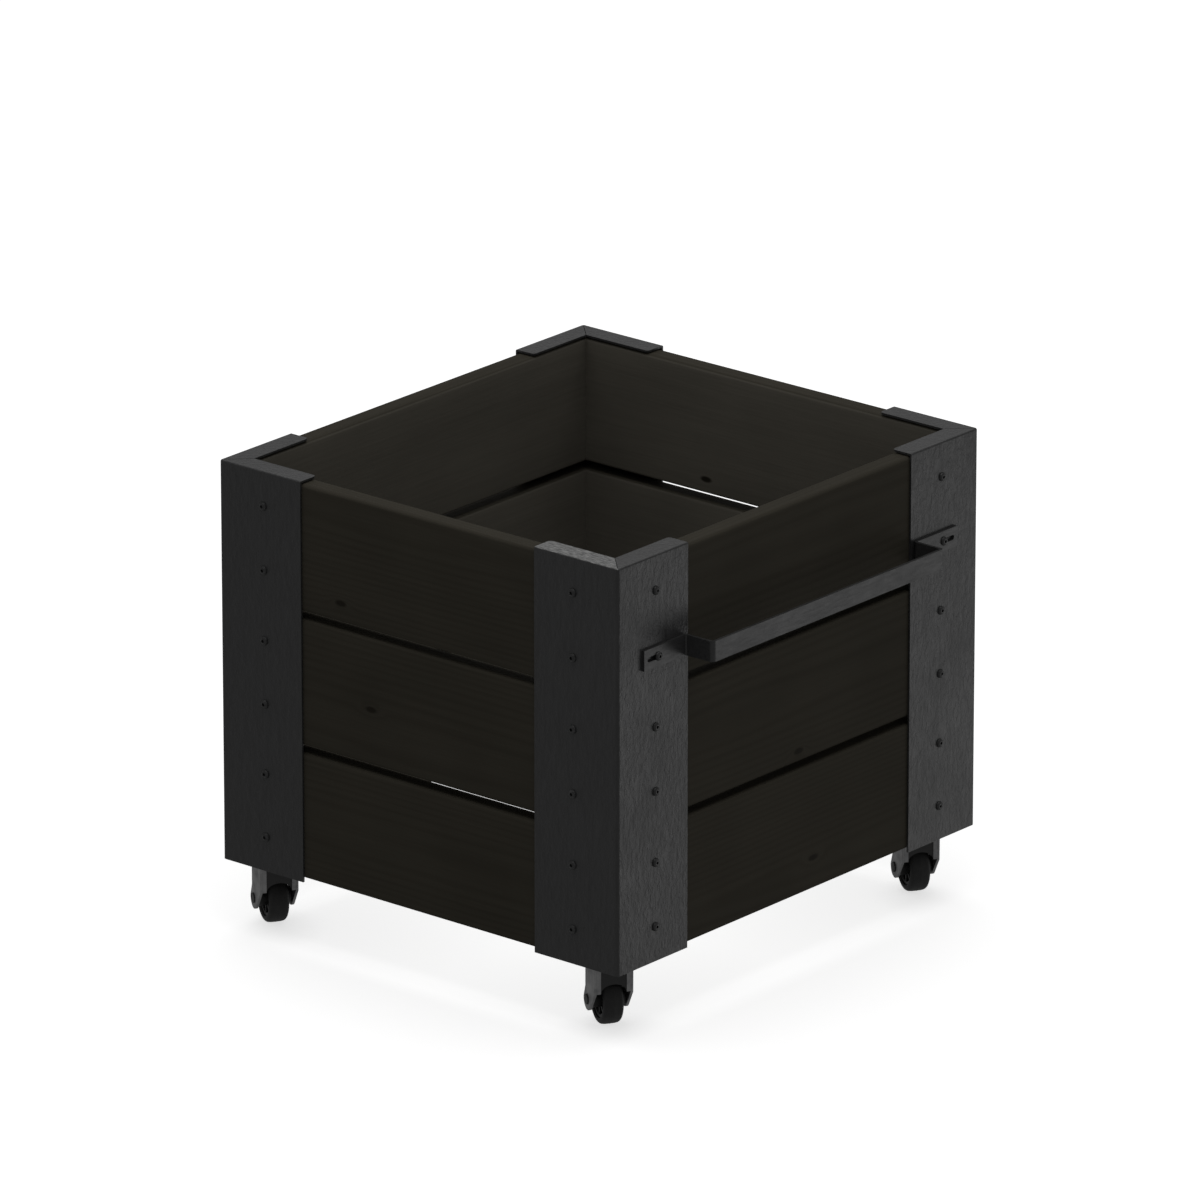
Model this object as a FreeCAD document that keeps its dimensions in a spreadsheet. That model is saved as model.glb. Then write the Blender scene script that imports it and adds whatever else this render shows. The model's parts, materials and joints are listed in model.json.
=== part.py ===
import FreeCAD, Part

import math
import os

import Sketcher
from FreeCAD import Placement, Rotation, Vector

# A timber planter box on castors. Three boards a side stand between four bent steel corner
# posts, a strap handle is screwed to one side, and a swivel castor is fixed under each post.
#
# The frame: the origin lies on the ground under the middle of the box, +Z is up, +X points at
# the side with the handle, and the boards of the front (-Y) and back (+Y) lap the ends of the
# boards of the left (-X) and right (+X).

SIZES = {
    # boards
    "board_length": 480.0,
    "board_height": 125.0,
    "board_thickness": 21.0,
    "board_gap": 7.5,
    "board_round": 3.5,
    "board_end_ease": 0.5,
    # corner posts, bent from sheet
    "post_flange": 100.0,
    "post_sheet": 2.0,
    "post_bend": 3.0,
    "post_top_bend": 1.6,
    "post_corner_round": 4.0,
    "board_clearance": 1.2,
    "mitre_kerf": 0.4,
    "foot_reach": 11.5,
    "foot_crop": 22.0,
    # button-head screws through the posts into the boards
    "screw_inset": 54.0,
    "screw_spacing": 63.0,
    "screw_shank": 4.0,
    "screw_length": 18.0,
    "screw_head": 8.6,
    "screw_head_height": 2.5,
    "socket_across": 3.0,
    "socket_depth": 1.6,
    "hole_clearance": 0.3,
    "pilot_clearance": 0.05,
    # strap handle
    "handle_length": 339.0,
    "handle_reach": 35.0,
    "handle_height": 20.0,
    "handle_sheet": 3.0,
    "handle_foot": 20.0,
    "handle_bend": 1.2,
    "slot_length": 18.0,
    "slot_width": 5.0,
    # castors
    "castor_height": 71.0,
    "castor_inset": 36.5,
    "castor_angle": 147.5,
    "castor_trail": 19.0,
    "plate_size": 60.0,
    "plate_sheet": 2.5,
    "plate_round": 5.0,
    "plate_hole_spacing": 46.0,
    "plate_hole": 5.6,
    "race_radius": 20.0,
    "race_wall": 1.5,
    "race_depth": 3.0,
    "ball_size": 3.4,
    "ball_circle": 13.0,
    "kingpin_radius": 4.0,
    "kingpin_head": 7.0,
    "kingpin_head_height": 1.8,
    "swivel_clearance": 0.3,
    "fork_width": 38.0,
    "fork_sheet": 2.5,
    "fork_bend": 3.0,
    "fork_lead": 3.5,
    "fork_end_radius": 10.5,
    "fork_taper_height": 12.0,
    "wheel_radius": 25.0,
    "wheel_width": 20.0,
    "tyre_shoulder": 4.0,
    "rim_radius": 18.5,
    "rim_width": 16.0,
    "web_width": 6.0,
    "hub_radius": 8.5,
    "hub_clearance": 0.5,
    "axle_radius": 3.0,
    "running_clearance": 0.05,
    "axle_head": 5.0,
    "axle_head_height": 1.2,
    "axle_nut_height": 1.4,
    # screws that hold the castor plates
    "plate_screw_shank": 5.0,
    "plate_screw_length": 20.0,
    "plate_screw_head": 9.5,
    "plate_screw_head_height": 2.6,
    "plate_nut_across": 8.0,
    "plate_nut_height": 3.5,
}

BOARDS_PER_SIDE = ("bottom", "middle", "top")
BALLS_PER_RING = 14

document = FreeCAD.newDocument("planter_box")
sheet = document.addObject("Spreadsheet::Sheet", "Sizes")
for row, (alias, number) in enumerate(SIZES.items(), start=1):
    sheet.set("A%d" % row, alias)
    sheet.set("B%d" % row, str(number))
    sheet.setAlias("B%d" % row, alias)
document.recompute()


class Length:
    """A length worked out from the sheet: its expression and its present value."""

    def __init__(self, text, value):
        self.text = text
        self.value = value

    def combine(self, sign, other, turned=False):
        """Join two lengths or numbers with an arithmetic sign."""
        other = other if isinstance(other, Length) else Length(repr(float(other)), float(other))
        left, right = (other, self) if turned else (self, other)
        results = {
            "+": lambda: left.value + right.value,
            "-": lambda: left.value - right.value,
            "*": lambda: left.value * right.value,
            "/": lambda: left.value / right.value,
        }
        return Length("(%s %s %s)" % (left.text, sign, right.text), results[sign]())

    def __add__(self, other):
        return self.combine("+", other)

    def __radd__(self, other):
        return self.combine("+", other, True)

    def __sub__(self, other):
        return self.combine("-", other)

    def __rsub__(self, other):
        return self.combine("-", other, True)

    def __mul__(self, other):
        return self.combine("*", other)

    def __rmul__(self, other):
        return self.combine("*", other, True)

    def __truediv__(self, other):
        return self.combine("/", other)

    def __neg__(self):
        return self.combine("*", -1.0)


def size(alias):
    """A size that the sheet holds."""
    return Length("Sizes." + alias, float(sheet.get(alias)))


def plain(number):
    """A number that isn't in the sheet, such as zero."""
    return Length(repr(float(number)), float(number))


# ---------------------------------------------------------------- sizes that follow others

board_length = size("board_length")
board_height = size("board_height")
board_thickness = size("board_thickness")
board_pitch = board_height + size("board_gap")
post_sheet = size("post_sheet")
wall_depth = board_thickness + post_sheet
box_width = board_length + 2.0 * post_sheet
box_depth = board_length + 2.0 * wall_depth
flange_offset = post_sheet + size("board_clearance")
board_count = len(BOARDS_PER_SIDE)
post_height = board_count * board_height + (board_count - 1) * size("board_gap") + 2.0 * flange_offset
castor_height = size("castor_height")
first_board_bottom = castor_height + flange_offset
screw_inset = size("screw_inset")
handle_row = first_board_bottom + (board_count - 1) * board_pitch + (board_height - size("screw_spacing")) / 2.0
axle_drop = size("wheel_radius") - castor_height
crown_top = -(size("plate_sheet") + size("ball_size") + 2.0 * size("pilot_clearance"))
crown_bottom = crown_top - size("fork_sheet")
inner_bend = size("post_bend") - post_sheet
board_end_round = inner_bend + size("board_end_ease")


# ------------------------------------------------------------------------ drawing helpers

def new_body(label):
    """An empty body whose label names the sub-part."""
    body = document.addObject("PartDesign::Body", label)
    body.Label = label
    return body


def new_sketch(body, plane, offset=None):
    """A sketch on one of the body's own origin planes, moved along its normal by offset."""
    sketch = body.newObject("Sketcher::SketchObject", body.Name + "_sketch")
    support = [item for item in body.Origin.OriginFeatures if item.Role == plane][0]
    sketch.AttachmentSupport = (support, "")
    sketch.MapMode = "FlatFace"
    if offset is not None:
        sketch.setExpression(".AttachmentOffset.Base.z", offset.text)
    return sketch


def bind(sketch, constraint, length):
    """Add a constraint whose value follows a length."""
    index = sketch.addConstraint(constraint)
    sketch.setExpression("Constraints[%d]" % index, length.text)


def pin_point(sketch, geometry, end, x, y):
    """Hold a point of a sketch at (x, y) from the sketch's origin."""
    for kind, length in (("DistanceX", x), ("DistanceY", y)):
        if length.value == 0.0:
            axis = -2 if kind == "DistanceX" else -1
            sketch.addConstraint(Sketcher.Constraint("PointOnObject", geometry, end, axis))
        else:
            bind(sketch, Sketcher.Constraint(kind, -1, 1, geometry, end, length.value), length)


def polygon(sketch, points):
    """A closed outline of straight lines through points, each held at its own place."""
    places = [Vector(x.value, y.value, 0) for x, y in points]
    lines = [Part.LineSegment(here, places[(i + 1) % len(places)]) for i, here in enumerate(places)]
    first = sketch.addGeometry(lines, False)[0]
    for i, (x, y) in enumerate(points):
        line_before = first + (i - 1) % len(points)
        sketch.addConstraint(Sketcher.Constraint("Coincident", line_before, 2, first + i, 1))
        pin_point(sketch, first + i, 1, x, y)


def rectangle(sketch, low_x, low_y, high_x, high_y):
    """A closed rectangle between two corners."""
    polygon(sketch, [(low_x, low_y), (high_x, low_y), (high_x, high_y), (low_x, high_y)])


def circle(sketch, x, y, radius):
    """A circle whose centre is held at (x, y)."""
    centre = Vector(x.value, y.value, 0)
    index = sketch.addGeometry(Part.Circle(centre, Vector(0, 0, 1), radius.value), False)
    if x.value == 0.0 and y.value == 0.0:
        sketch.addConstraint(Sketcher.Constraint("Coincident", index, 3, -1, 1))
    else:
        pin_point(sketch, index, 3, x, y)
    bind(sketch, Sketcher.Constraint("Radius", index, radius.value), radius)


def slot(sketch, x, y, length, width):
    """A round-ended slot along the sketch's x direction, centred at (x, y)."""
    radius = width / 2.0
    reach = (length - width) / 2.0
    for side, start in ((-1.0, math.pi / 2), (1.0, -math.pi / 2)):
        centre = Vector(x.value + side * reach.value, y.value, 0)
        arc = Part.ArcOfCircle(Part.Circle(centre, Vector(0, 0, 1), radius.value), start, start + math.pi)
        index = sketch.addGeometry(arc, False)
        pin_point(sketch, index, 3, x + side * reach, y)
        bind(sketch, Sketcher.Constraint("Radius", index, radius.value), radius)
    for side in (1.0, -1.0):
        height = y.value + side * radius.value
        line = Part.LineSegment(
            Vector(x.value - reach.value, height, 0), Vector(x.value + reach.value, height, 0)
        )
        sketch.addGeometry(line, False)
    left, right, upper, lower = range(4)
    sketch.addConstraint(Sketcher.Constraint("Tangent", left, 1, upper, 1))
    sketch.addConstraint(Sketcher.Constraint("Tangent", left, 2, lower, 1))
    sketch.addConstraint(Sketcher.Constraint("Tangent", right, 2, upper, 2))
    sketch.addConstraint(Sketcher.Constraint("Tangent", right, 1, lower, 2))


def pad(body, sketch, length, symmetric=False):
    """Thicken a sketch along its normal."""
    feature = body.newObject("PartDesign::Pad", body.Name + "_pad")
    feature.Profile = sketch
    if symmetric:
        feature.SideType = "Symmetric"
    feature.setExpression("Length", length.text)
    body.Tip = feature
    document.recompute()
    return feature


def pocket(body, sketch, depth, symmetric=False, turned=False):
    """Cut a sketch into the body, and refuse a cut that takes nothing away."""
    before = body.Shape.Volume
    feature = body.newObject("PartDesign::Pocket", body.Name + "_pocket")
    feature.Profile = sketch
    if symmetric:
        feature.SideType = "Symmetric"
    feature.Reversed = turned
    feature.setExpression("Length", depth.text)
    body.Tip = feature
    document.recompute()
    if body.Shape.Volume > before - 1e-3:
        raise RuntimeError("%s cuts nothing" % feature.Name)
    return feature


def revolve(body, sketch, axis="V_Axis"):
    """Turn a sketch a full turn about one of its own axes."""
    feature = body.newObject("PartDesign::Revolution", body.Name + "_turn")
    feature.Profile = sketch
    feature.ReferenceAxis = (sketch, [axis])
    feature.Angle = 360.0
    body.Tip = feature
    document.recompute()
    return feature


def round_edges(body, chosen, radius):
    """Fillet the edges of the body's tip that the test chosen picks."""
    base = body.Tip
    names = ["Edge%d" % (i + 1) for i, edge in enumerate(base.Shape.Edges) if chosen(edge)]
    if not names:
        raise RuntimeError("%s has no edge to round" % body.Label)
    feature = body.newObject("PartDesign::Fillet", body.Name + "_fillet")
    feature.Base = (base, names)
    feature.setExpression("Radius", radius.text)
    body.Tip = feature
    document.recompute()
    return feature


def runs_along(edge, axis):
    """Whether an edge is straight and parallel to axis."""
    if edge.Curve.TypeId != "Part::GeomLine":
        return False
    return abs(abs(edge.tangentAt(edge.FirstParameter).dot(axis)) - 1.0) < 1e-6


def near(value, length):
    """Whether a coordinate lies at a length."""
    return abs(value - length.value) < 1e-4


X_AXIS = Vector(1, 0, 0)
Y_AXIS = Vector(0, 1, 0)
Z_AXIS = Vector(0, 0, 1)
ZERO = plain(0)

sub_parts = []


def keep(item, label, x, y, z, angle=0.0):
    """Name a sub-part, place it in the box's frame and list it for export."""
    item.Label = label
    item.Placement = Placement(Vector(x.value, y.value, z.value), Rotation(Z_AXIS, angle))
    for axis, length in (("x", x), ("y", y), ("z", z)):
        item.setExpression(".Placement.Base." + axis, length.text)
    sub_parts.append(item)
    return item


def keep_group(label, shapes):
    """Keep several equal solids as one sub-part, already placed in the box's frame."""
    item = document.addObject("Part::Feature", label)
    item.Label = label
    item.Shape = Part.makeCompound(shapes)
    sub_parts.append(item)
    return item


# ------------------------------------------------------------------------- the four corners

# The name of each corner, which side of the middle it is on, and the turn about Z that takes
# a post drawn at the front left corner to it.
CORNERS = {
    "front_left": (-1.0, -1.0, 0.0),
    "front_right": (1.0, -1.0, 90.0),
    "back_right": (1.0, 1.0, 180.0),
    "back_left": (-1.0, 1.0, 270.0),
}


def corner_place(side_x, side_y):
    """The outer corner of a post, on the ground plan."""
    return side_x * box_width / 2.0, side_y * box_depth / 2.0


# ------------------------------------------------------------------------------ corner post

def screw_heights():
    """The heights of a post's screws above its bottom, two for each board."""
    heights = []
    for board in range(board_count):
        middle = flange_offset + board * board_pitch + board_height / 2.0
        heights.append(middle - size("screw_spacing") / 2.0)
        heights.append(middle + size("screw_spacing") / 2.0)
    return heights


def make_post(label):
    """A post of bent sheet, its outer corner at the origin and its flanges along +X and +Y."""
    flange = size("post_flange")
    body = new_body(label)

    angle = new_sketch(body, "XY_Plane")
    polygon(angle, [
        (ZERO, ZERO),
        (flange, ZERO),
        (flange, post_sheet),
        (post_sheet, post_sheet),
        (post_sheet, flange),
        (ZERO, flange),
    ])
    pad(body, angle, post_height)
    round_edges(
        body,
        lambda e: runs_along(e, Z_AXIS) and e.CenterOfMass.x < 1e-4 and e.CenterOfMass.y < 1e-4,
        size("post_bend"),
    )
    round_edges(
        body,
        lambda e: runs_along(e, Z_AXIS)
        and near(e.CenterOfMass.x, post_sheet) and near(e.CenterOfMass.y, post_sheet),
        inner_bend,
    )

    # the two top flanges that cover the edges of the boards, mitred at the corner
    cover = new_sketch(body, "XY_Plane", post_height - post_sheet)
    seat = post_sheet / 2.0
    polygon(cover, [
        (seat, seat),
        (flange, seat),
        (flange, wall_depth),
        (wall_depth, wall_depth),
        (wall_depth, flange),
        (seat, flange),
    ])
    pad(body, cover, post_sheet)
    round_edges(
        body,
        lambda e: runs_along(e, Z_AXIS) and e.CenterOfMass.z > post_height.value - 2 * post_sheet.value and (
            (near(e.CenterOfMass.x, flange) and near(e.CenterOfMass.y, wall_depth))
            or (near(e.CenterOfMass.y, flange) and near(e.CenterOfMass.x, wall_depth))
        ),
        size("post_corner_round"),
    )
    round_edges(
        body,
        lambda e: near(e.CenterOfMass.z, post_height)
        and (e.CenterOfMass.x < size("post_bend").value / 2 or e.CenterOfMass.y < size("post_bend").value / 2)
        and (e.Length > flange.value / 2),
        size("post_top_bend"),
    )
    kerf = new_sketch(body, "XY_Plane", post_height + post_sheet)
    half = size("mitre_kerf") / 2.0
    start = size("post_bend")
    polygon(kerf, [
        (start + half, start - half),
        (wall_depth + 2.0 * half, wall_depth),
        (wall_depth, wall_depth + 2.0 * half),
        (start - half, start + half),
    ])
    pocket(body, kerf, 2.0 * post_sheet + size("board_clearance") / 2.0)

    # the foot that carries the castor reaches past its plate, with its inner corner cropped
    foot = new_sketch(body, "XY_Plane")
    reach = size("castor_inset") + size("plate_size") / 2.0 + size("foot_reach")
    crop = reach - size("foot_crop")
    polygon(foot, [
        (seat, seat),
        (reach, seat),
        (reach, crop),
        (crop, reach),
        (seat, reach),
    ])
    pad(body, foot, post_sheet)
    holes = new_sketch(body, "XY_Plane")
    circle(holes, size("castor_inset"), size("castor_inset"), size("kingpin_head") + 2.0 * size("hole_clearance"))
    for x, y in plate_hole_places():
        circle(holes, x, y, size("plate_hole") / 2.0)
    pocket(body, holes, 2.0 * post_sheet, symmetric=True)

    # screw holes through both flanges
    for plane in ("XZ_Plane", "YZ_Plane"):
        drilled = new_sketch(body, plane)
        for height in screw_heights():
            circle(drilled, screw_inset, height, size("screw_shank") / 2.0 + size("hole_clearance"))
        pocket(body, drilled, 4.0 * post_sheet, symmetric=True)
    return body


def plate_hole_places():
    """The holes of a castor plate, from the outer corner of its post."""
    near_hole = size("castor_inset") - size("plate_hole_spacing") / 2.0
    far_hole = size("castor_inset") + size("plate_hole_spacing") / 2.0
    return [(near_hole, near_hole), (far_hole, near_hole), (near_hole, far_hole), (far_hole, far_hole)]


for corner, (side_x, side_y, turn) in CORNERS.items():
    corner_x, corner_y = corner_place(side_x, side_y)
    keep(make_post("corner_post_" + corner), "corner_post_" + corner, corner_x, corner_y, castor_height, turn)


# ----------------------------------------------------------------------------------- boards

def make_board(label, end_inset, castor_holes):
    """A board with rounded edges: length along X, outer face at Y = 0, bottom edge at Z = 0.

    end_inset is the distance of the screws from the board's ends, and castor_holes lists the
    pilot holes in its bottom edge, each as its distance from the end and from the outer face.
    """
    body = new_body(label)
    section = new_sketch(body, "YZ_Plane")
    rectangle(section, ZERO, ZERO, board_thickness, board_height)
    pad(body, section, board_length, symmetric=True)
    # the ends are eased where they stand in the posts' inner bends
    round_edges(body, lambda e: runs_along(e, Z_AXIS) and near(e.CenterOfMass.y, ZERO), board_end_round)
    round_edges(
        body,
        lambda e: runs_along(e, X_AXIS) and abs(e.Length - board_length.value) < 0.1 * board_length.value,
        size("board_round"),
    )

    pilots = new_sketch(body, "XZ_Plane")
    radius = size("screw_shank") / 2.0 + size("pilot_clearance")
    for side in (-1.0, 1.0):
        for shift in (-1.0, 1.0):
            height = board_height / 2.0 + shift * size("screw_spacing") / 2.0
            circle(pilots, side * (board_length / 2.0 - end_inset), height, radius)
    pocket(body, pilots, size("screw_length") - post_sheet + 2.0 * size("hole_clearance"))

    if castor_holes:
        under = new_sketch(body, "XY_Plane")
        radius = size("plate_screw_shank") / 2.0 + size("pilot_clearance")
        for side in (-1.0, 1.0):
            for from_end, from_face in castor_holes:
                circle(under, side * (board_length / 2.0 - from_end), from_face, radius)
        pocket(body, under, size("plate_screw_length"), turned=True)
    return body


near_hole, far_hole = plate_hole_places()[0][0], plate_hole_places()[1][0]
# The outer holes of a castor plate come up under the boards of both sides. The nearer one
# passes the ends of the boards between the lapping ones, or cuts into them, as its place has it.
LAPPING_CASTOR_HOLES = [
    (near_hole - post_sheet, near_hole - post_sheet),
    (far_hole - post_sheet, near_hole - post_sheet),
]
BETWEEN_CASTOR_HOLES = [
    (near_hole - wall_depth, near_hole - post_sheet),
    (far_hole - wall_depth, near_hole - post_sheet),
]

# Each side: the place of its boards' outer face, the turn, the inset of the screws from the
# boards' ends, and the pilot holes in the bottom board.
SIDES = {
    "front": (ZERO, -(box_depth / 2.0 - post_sheet), 0.0, screw_inset - post_sheet, LAPPING_CASTOR_HOLES),
    "right": (box_width / 2.0 - post_sheet, ZERO, 90.0, screw_inset - wall_depth, BETWEEN_CASTOR_HOLES),
    "back": (ZERO, box_depth / 2.0 - post_sheet, 180.0, screw_inset - post_sheet, LAPPING_CASTOR_HOLES),
    "left": (-(box_width / 2.0 - post_sheet), ZERO, 270.0, screw_inset - wall_depth, BETWEEN_CASTOR_HOLES),
}

for side, (face_x, face_y, turn, end_inset, castor_holes) in SIDES.items():
    for level, name in enumerate(BOARDS_PER_SIDE):
        label = "%s_board_%s" % (side, name)
        board = make_board(label, end_inset, castor_holes if level == 0 else [])
        keep(board, label, face_x, face_y, first_board_bottom + level * board_pitch, turn)


# ----------------------------------------------------------------------------------- screws

def make_screw(label, shank, length, head, head_height, nose):
    """A button-head screw along +Z: its seat at Z = 0, its head below and its nose above."""
    body = new_body(label)
    profile = new_sketch(body, "XZ_Plane")
    shank_radius = shank / 2.0
    head_radius = head / 2.0
    polygon(profile, [
        (ZERO, -head_height),
        (0.55 * head_radius, -head_height),
        (0.88 * head_radius, -0.62 * head_height),
        (head_radius, -0.2 * head_height),
        (head_radius, ZERO),
        (shank_radius, ZERO),
        (shank_radius, length - nose * shank_radius),
        (0.25 * shank_radius, length),
        (ZERO, length),
    ])
    revolve(body, profile)
    socket = new_sketch(body, "XY_Plane", -head_height)
    across = size("socket_across") / 2.0
    slope = math.tan(math.radians(30.0))
    polygon(socket, [
        (across, slope * across),
        (ZERO, 2.0 * slope * across),
        (-across, slope * across),
        (-across, -slope * across),
        (ZERO, -2.0 * slope * across),
        (across, -slope * across),
    ])
    pocket(body, socket, size("socket_depth"), turned=True)
    return body.Shape.copy()


board_screw = make_screw(
    "board_screw_pattern",
    size("screw_shank"),
    size("screw_length"),
    size("screw_head"),
    size("screw_head_height"),
    2.0,
)
plate_screw = make_screw(
    "plate_screw_pattern",
    size("plate_screw_shank"),
    size("plate_screw_length"),
    size("plate_screw_head"),
    size("plate_screw_head_height"),
    1.6,
)


def placed(shape, place):
    """A copy of a shape moved to a placement."""
    copy = shape.copy()
    copy.Placement = place.multiply(copy.Placement)
    return copy


def post_place(side_x, side_y, turn):
    """The placement of a post and of what is drawn in its corner."""
    corner_x, corner_y = corner_place(side_x, side_y)
    return Placement(Vector(corner_x.value, corner_y.value, castor_height.value), Rotation(Z_AXIS, turn))


# A screw on the flange along X goes in along +Y, and one on the flange along Y along +X.
INTO_X_FLANGE = Rotation(X_AXIS, -90.0)
INTO_Y_FLANGE = Rotation(Y_AXIS, 90.0)
HANDLE_HOLE = 2 * board_count - 2
HANDLE_FLANGES = {"front_right": "x", "back_right": "y"}

handle_screws = []
for corner, (side_x, side_y, turn) in CORNERS.items():
    group = []
    for flange, into in (("x", INTO_X_FLANGE), ("y", INTO_Y_FLANGE)):
        for hole, height in enumerate(screw_heights()):
            on_handle = hole == HANDLE_HOLE and HANDLE_FLANGES.get(corner) == flange
            stand = -size("handle_sheet").value if on_handle else 0.0
            seat = (screw_inset.value, stand) if flange == "x" else (stand, screw_inset.value)
            place = post_place(side_x, side_y, turn)
            place = place.multiply(Placement(Vector(seat[0], seat[1], height.value), into))
            (handle_screws if on_handle else group).append(placed(board_screw, place))
    keep_group("board_screws_" + corner, group)
keep_group("handle_screws", handle_screws)


# ----------------------------------------------------------------------------- strap handle

def make_handle(label):
    """A hat-shaped strap: feet on the plane X = 0, the grip along Y at the reach."""
    strap = size("handle_sheet")
    reach = size("handle_reach")
    arm = size("handle_length") / 2.0
    screw_place = box_depth / 2.0 - screw_inset
    end = screw_place + size("handle_foot")
    body = new_body(label)
    outline = new_sketch(body, "XY_Plane")
    upper = [
        (strap, end),
        (ZERO, end),
        (ZERO, arm - strap),
        (reach - strap, arm - strap),
    ]
    lower = [
        (reach, arm),
        (strap, arm),
    ]
    mirrored_upper = [(x, -y) for x, y in reversed(upper)]
    mirrored_lower = [(x, -y) for x, y in reversed(lower)]
    polygon(outline, upper + mirrored_upper + mirrored_lower + lower)
    pad(body, outline, size("handle_height"), symmetric=True)

    outer_bend = size("handle_bend") + strap
    round_edges(
        body,
        lambda e: runs_along(e, Z_AXIS) and (
            (near(e.CenterOfMass.x, reach) and near(abs(e.CenterOfMass.y), arm))
            or (near(e.CenterOfMass.x, ZERO) and near(abs(e.CenterOfMass.y), arm - strap))
        ),
        outer_bend,
    )
    round_edges(
        body,
        lambda e: runs_along(e, Z_AXIS) and (
            (near(e.CenterOfMass.x, reach - strap) and near(abs(e.CenterOfMass.y), arm - strap))
            or (near(e.CenterOfMass.x, strap) and near(abs(e.CenterOfMass.y), arm))
        ),
        size("handle_bend"),
    )
    # the slots run outwards from the screws, so that the strap can shift when it is fitted
    slot_middle = screw_place + (size("slot_length") - size("slot_width")) / 2.0
    for side in (-1.0, 1.0):
        slots = new_sketch(body, "YZ_Plane")
        slot(slots, side * slot_middle, ZERO, size("slot_length"), size("slot_width"))
        pocket(body, slots, 4.0 * strap, symmetric=True)
    return body


keep(make_handle("handle_strap"), "handle_strap", box_width / 2.0, ZERO, handle_row)


# ---------------------------------------------------------------------------------- castors

# Each castor part is drawn with the swivel axis on Z, the top of its plate at Z = 0 and the
# wheel trailing along +X, and then turned to the castor's angle.

def castor_centre(side_x, side_y):
    """The swivel axis of a castor, on the ground plan."""
    corner_x, corner_y = corner_place(side_x, side_y)
    return corner_x - side_x * size("castor_inset"), corner_y - side_y * size("castor_inset")


def keep_castor_part(body, corner, angle):
    """Place a castor part under its post."""
    side_x, side_y, _ = CORNERS[corner]
    x, y = castor_centre(side_x, side_y)
    keep(body, body.Label, x, y, castor_height, angle)
    if angle:
        body.setExpression(".Placement.Rotation.Angle", "%s * 1 deg" % size("castor_angle").text)


def make_castor_plate(label):
    """The square top plate with its race cup, turned square to the box."""
    body = new_body(label)
    half = size("plate_size") / 2.0
    square = new_sketch(body, "XY_Plane", -size("plate_sheet"))
    rectangle(square, -half, -half, half, half)
    pad(body, square, size("plate_sheet"))
    round_edges(body, lambda e: runs_along(e, Z_AXIS), size("plate_round"))
    cup = new_sketch(body, "XY_Plane", -(size("plate_sheet") + size("race_depth")))
    circle(cup, ZERO, ZERO, size("race_radius"))
    circle(cup, ZERO, ZERO, size("race_radius") - size("race_wall"))
    pad(body, cup, size("race_depth") + size("plate_sheet") / 2.0)
    holes = new_sketch(body, "XY_Plane")
    circle(holes, ZERO, ZERO, size("kingpin_radius") + size("pilot_clearance"))
    spacing = size("plate_hole_spacing") / 2.0
    for side_x in (-1.0, 1.0):
        for side_y in (-1.0, 1.0):
            circle(holes, side_x * spacing, side_y * spacing, size("plate_hole") / 2.0)
    pocket(body, holes, 4.0 * size("plate_sheet"), symmetric=True)
    return body


def make_kingpin(label):
    """The riveted pin that the fork swivels on, headed above the plate and below the crown."""
    body = new_body(label)
    profile = new_sketch(body, "XZ_Plane")
    pin = size("kingpin_radius")
    head = size("kingpin_head")
    thick = size("kingpin_head_height")
    low_seat = crown_bottom - size("swivel_clearance")
    polygon(profile, [
        (ZERO, low_seat - thick),
        (0.7 * head, low_seat - thick),
        (head, low_seat - 0.4 * thick),
        (head, low_seat),
        (pin, low_seat),
        (pin, ZERO),
        (head, ZERO),
        (head, 0.4 * thick),
        (0.7 * head, thick),
        (ZERO, thick),
    ])
    revolve(body, profile)
    return body


def make_ball_ring(x, y):
    """The balls between the plate and the crown, as separate solids placed under the box."""
    height = castor_height - size("plate_sheet") - size("ball_size") / 2.0 - size("pilot_clearance")
    balls = []
    for step in range(BALLS_PER_RING):
        angle = 2.0 * math.pi * step / BALLS_PER_RING
        centre = Vector(
            x.value + size("ball_circle").value * math.cos(angle),
            y.value + size("ball_circle").value * math.sin(angle),
            height.value,
        )
        balls.append(Part.makeSphere(size("ball_size").value / 2.0, centre))
    return balls


# The leg ends' rounding as a share of the end radius, so that the two roundings of a leg fit
# side by side along its foot.
FORK_TOE_ROUND = 0.95


def round_front(sketch, radius):
    """All that lies in front (-X) of the Y axis and outside a circle about the origin."""
    reach = 2.0 * radius
    corners = [(ZERO, radius), (ZERO, reach), (-reach, reach), (-reach, -reach), (ZERO, -reach)]
    places = [Vector(x.value, y.value, 0) for x, y in corners] + [Vector(0, -radius.value, 0)]
    lines = [Part.LineSegment(here, there) for here, there in zip(places, places[1:])]
    first = sketch.addGeometry(lines, False)[0]
    for i, (x, y) in enumerate(corners):
        if i:
            sketch.addConstraint(Sketcher.Constraint("Coincident", first + i - 1, 2, first + i, 1))
        pin_point(sketch, first + i, 1, x, y)
    middle = Part.Circle(Vector(0, 0, 0), Vector(0, 0, 1), radius.value)
    arc = sketch.addGeometry(Part.ArcOfCircle(middle, math.pi / 2, 3 * math.pi / 2), False)
    last = first + len(lines) - 1
    sketch.addConstraint(Sketcher.Constraint("Coincident", arc, 3, -1, 1))
    sketch.addConstraint(Sketcher.Constraint("Coincident", arc, 1, first, 1))
    sketch.addConstraint(Sketcher.Constraint("Coincident", arc, 2, last, 2))
    sketch.addConstraint(Sketcher.Constraint("PointOnObject", last, 2, -2))


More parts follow.
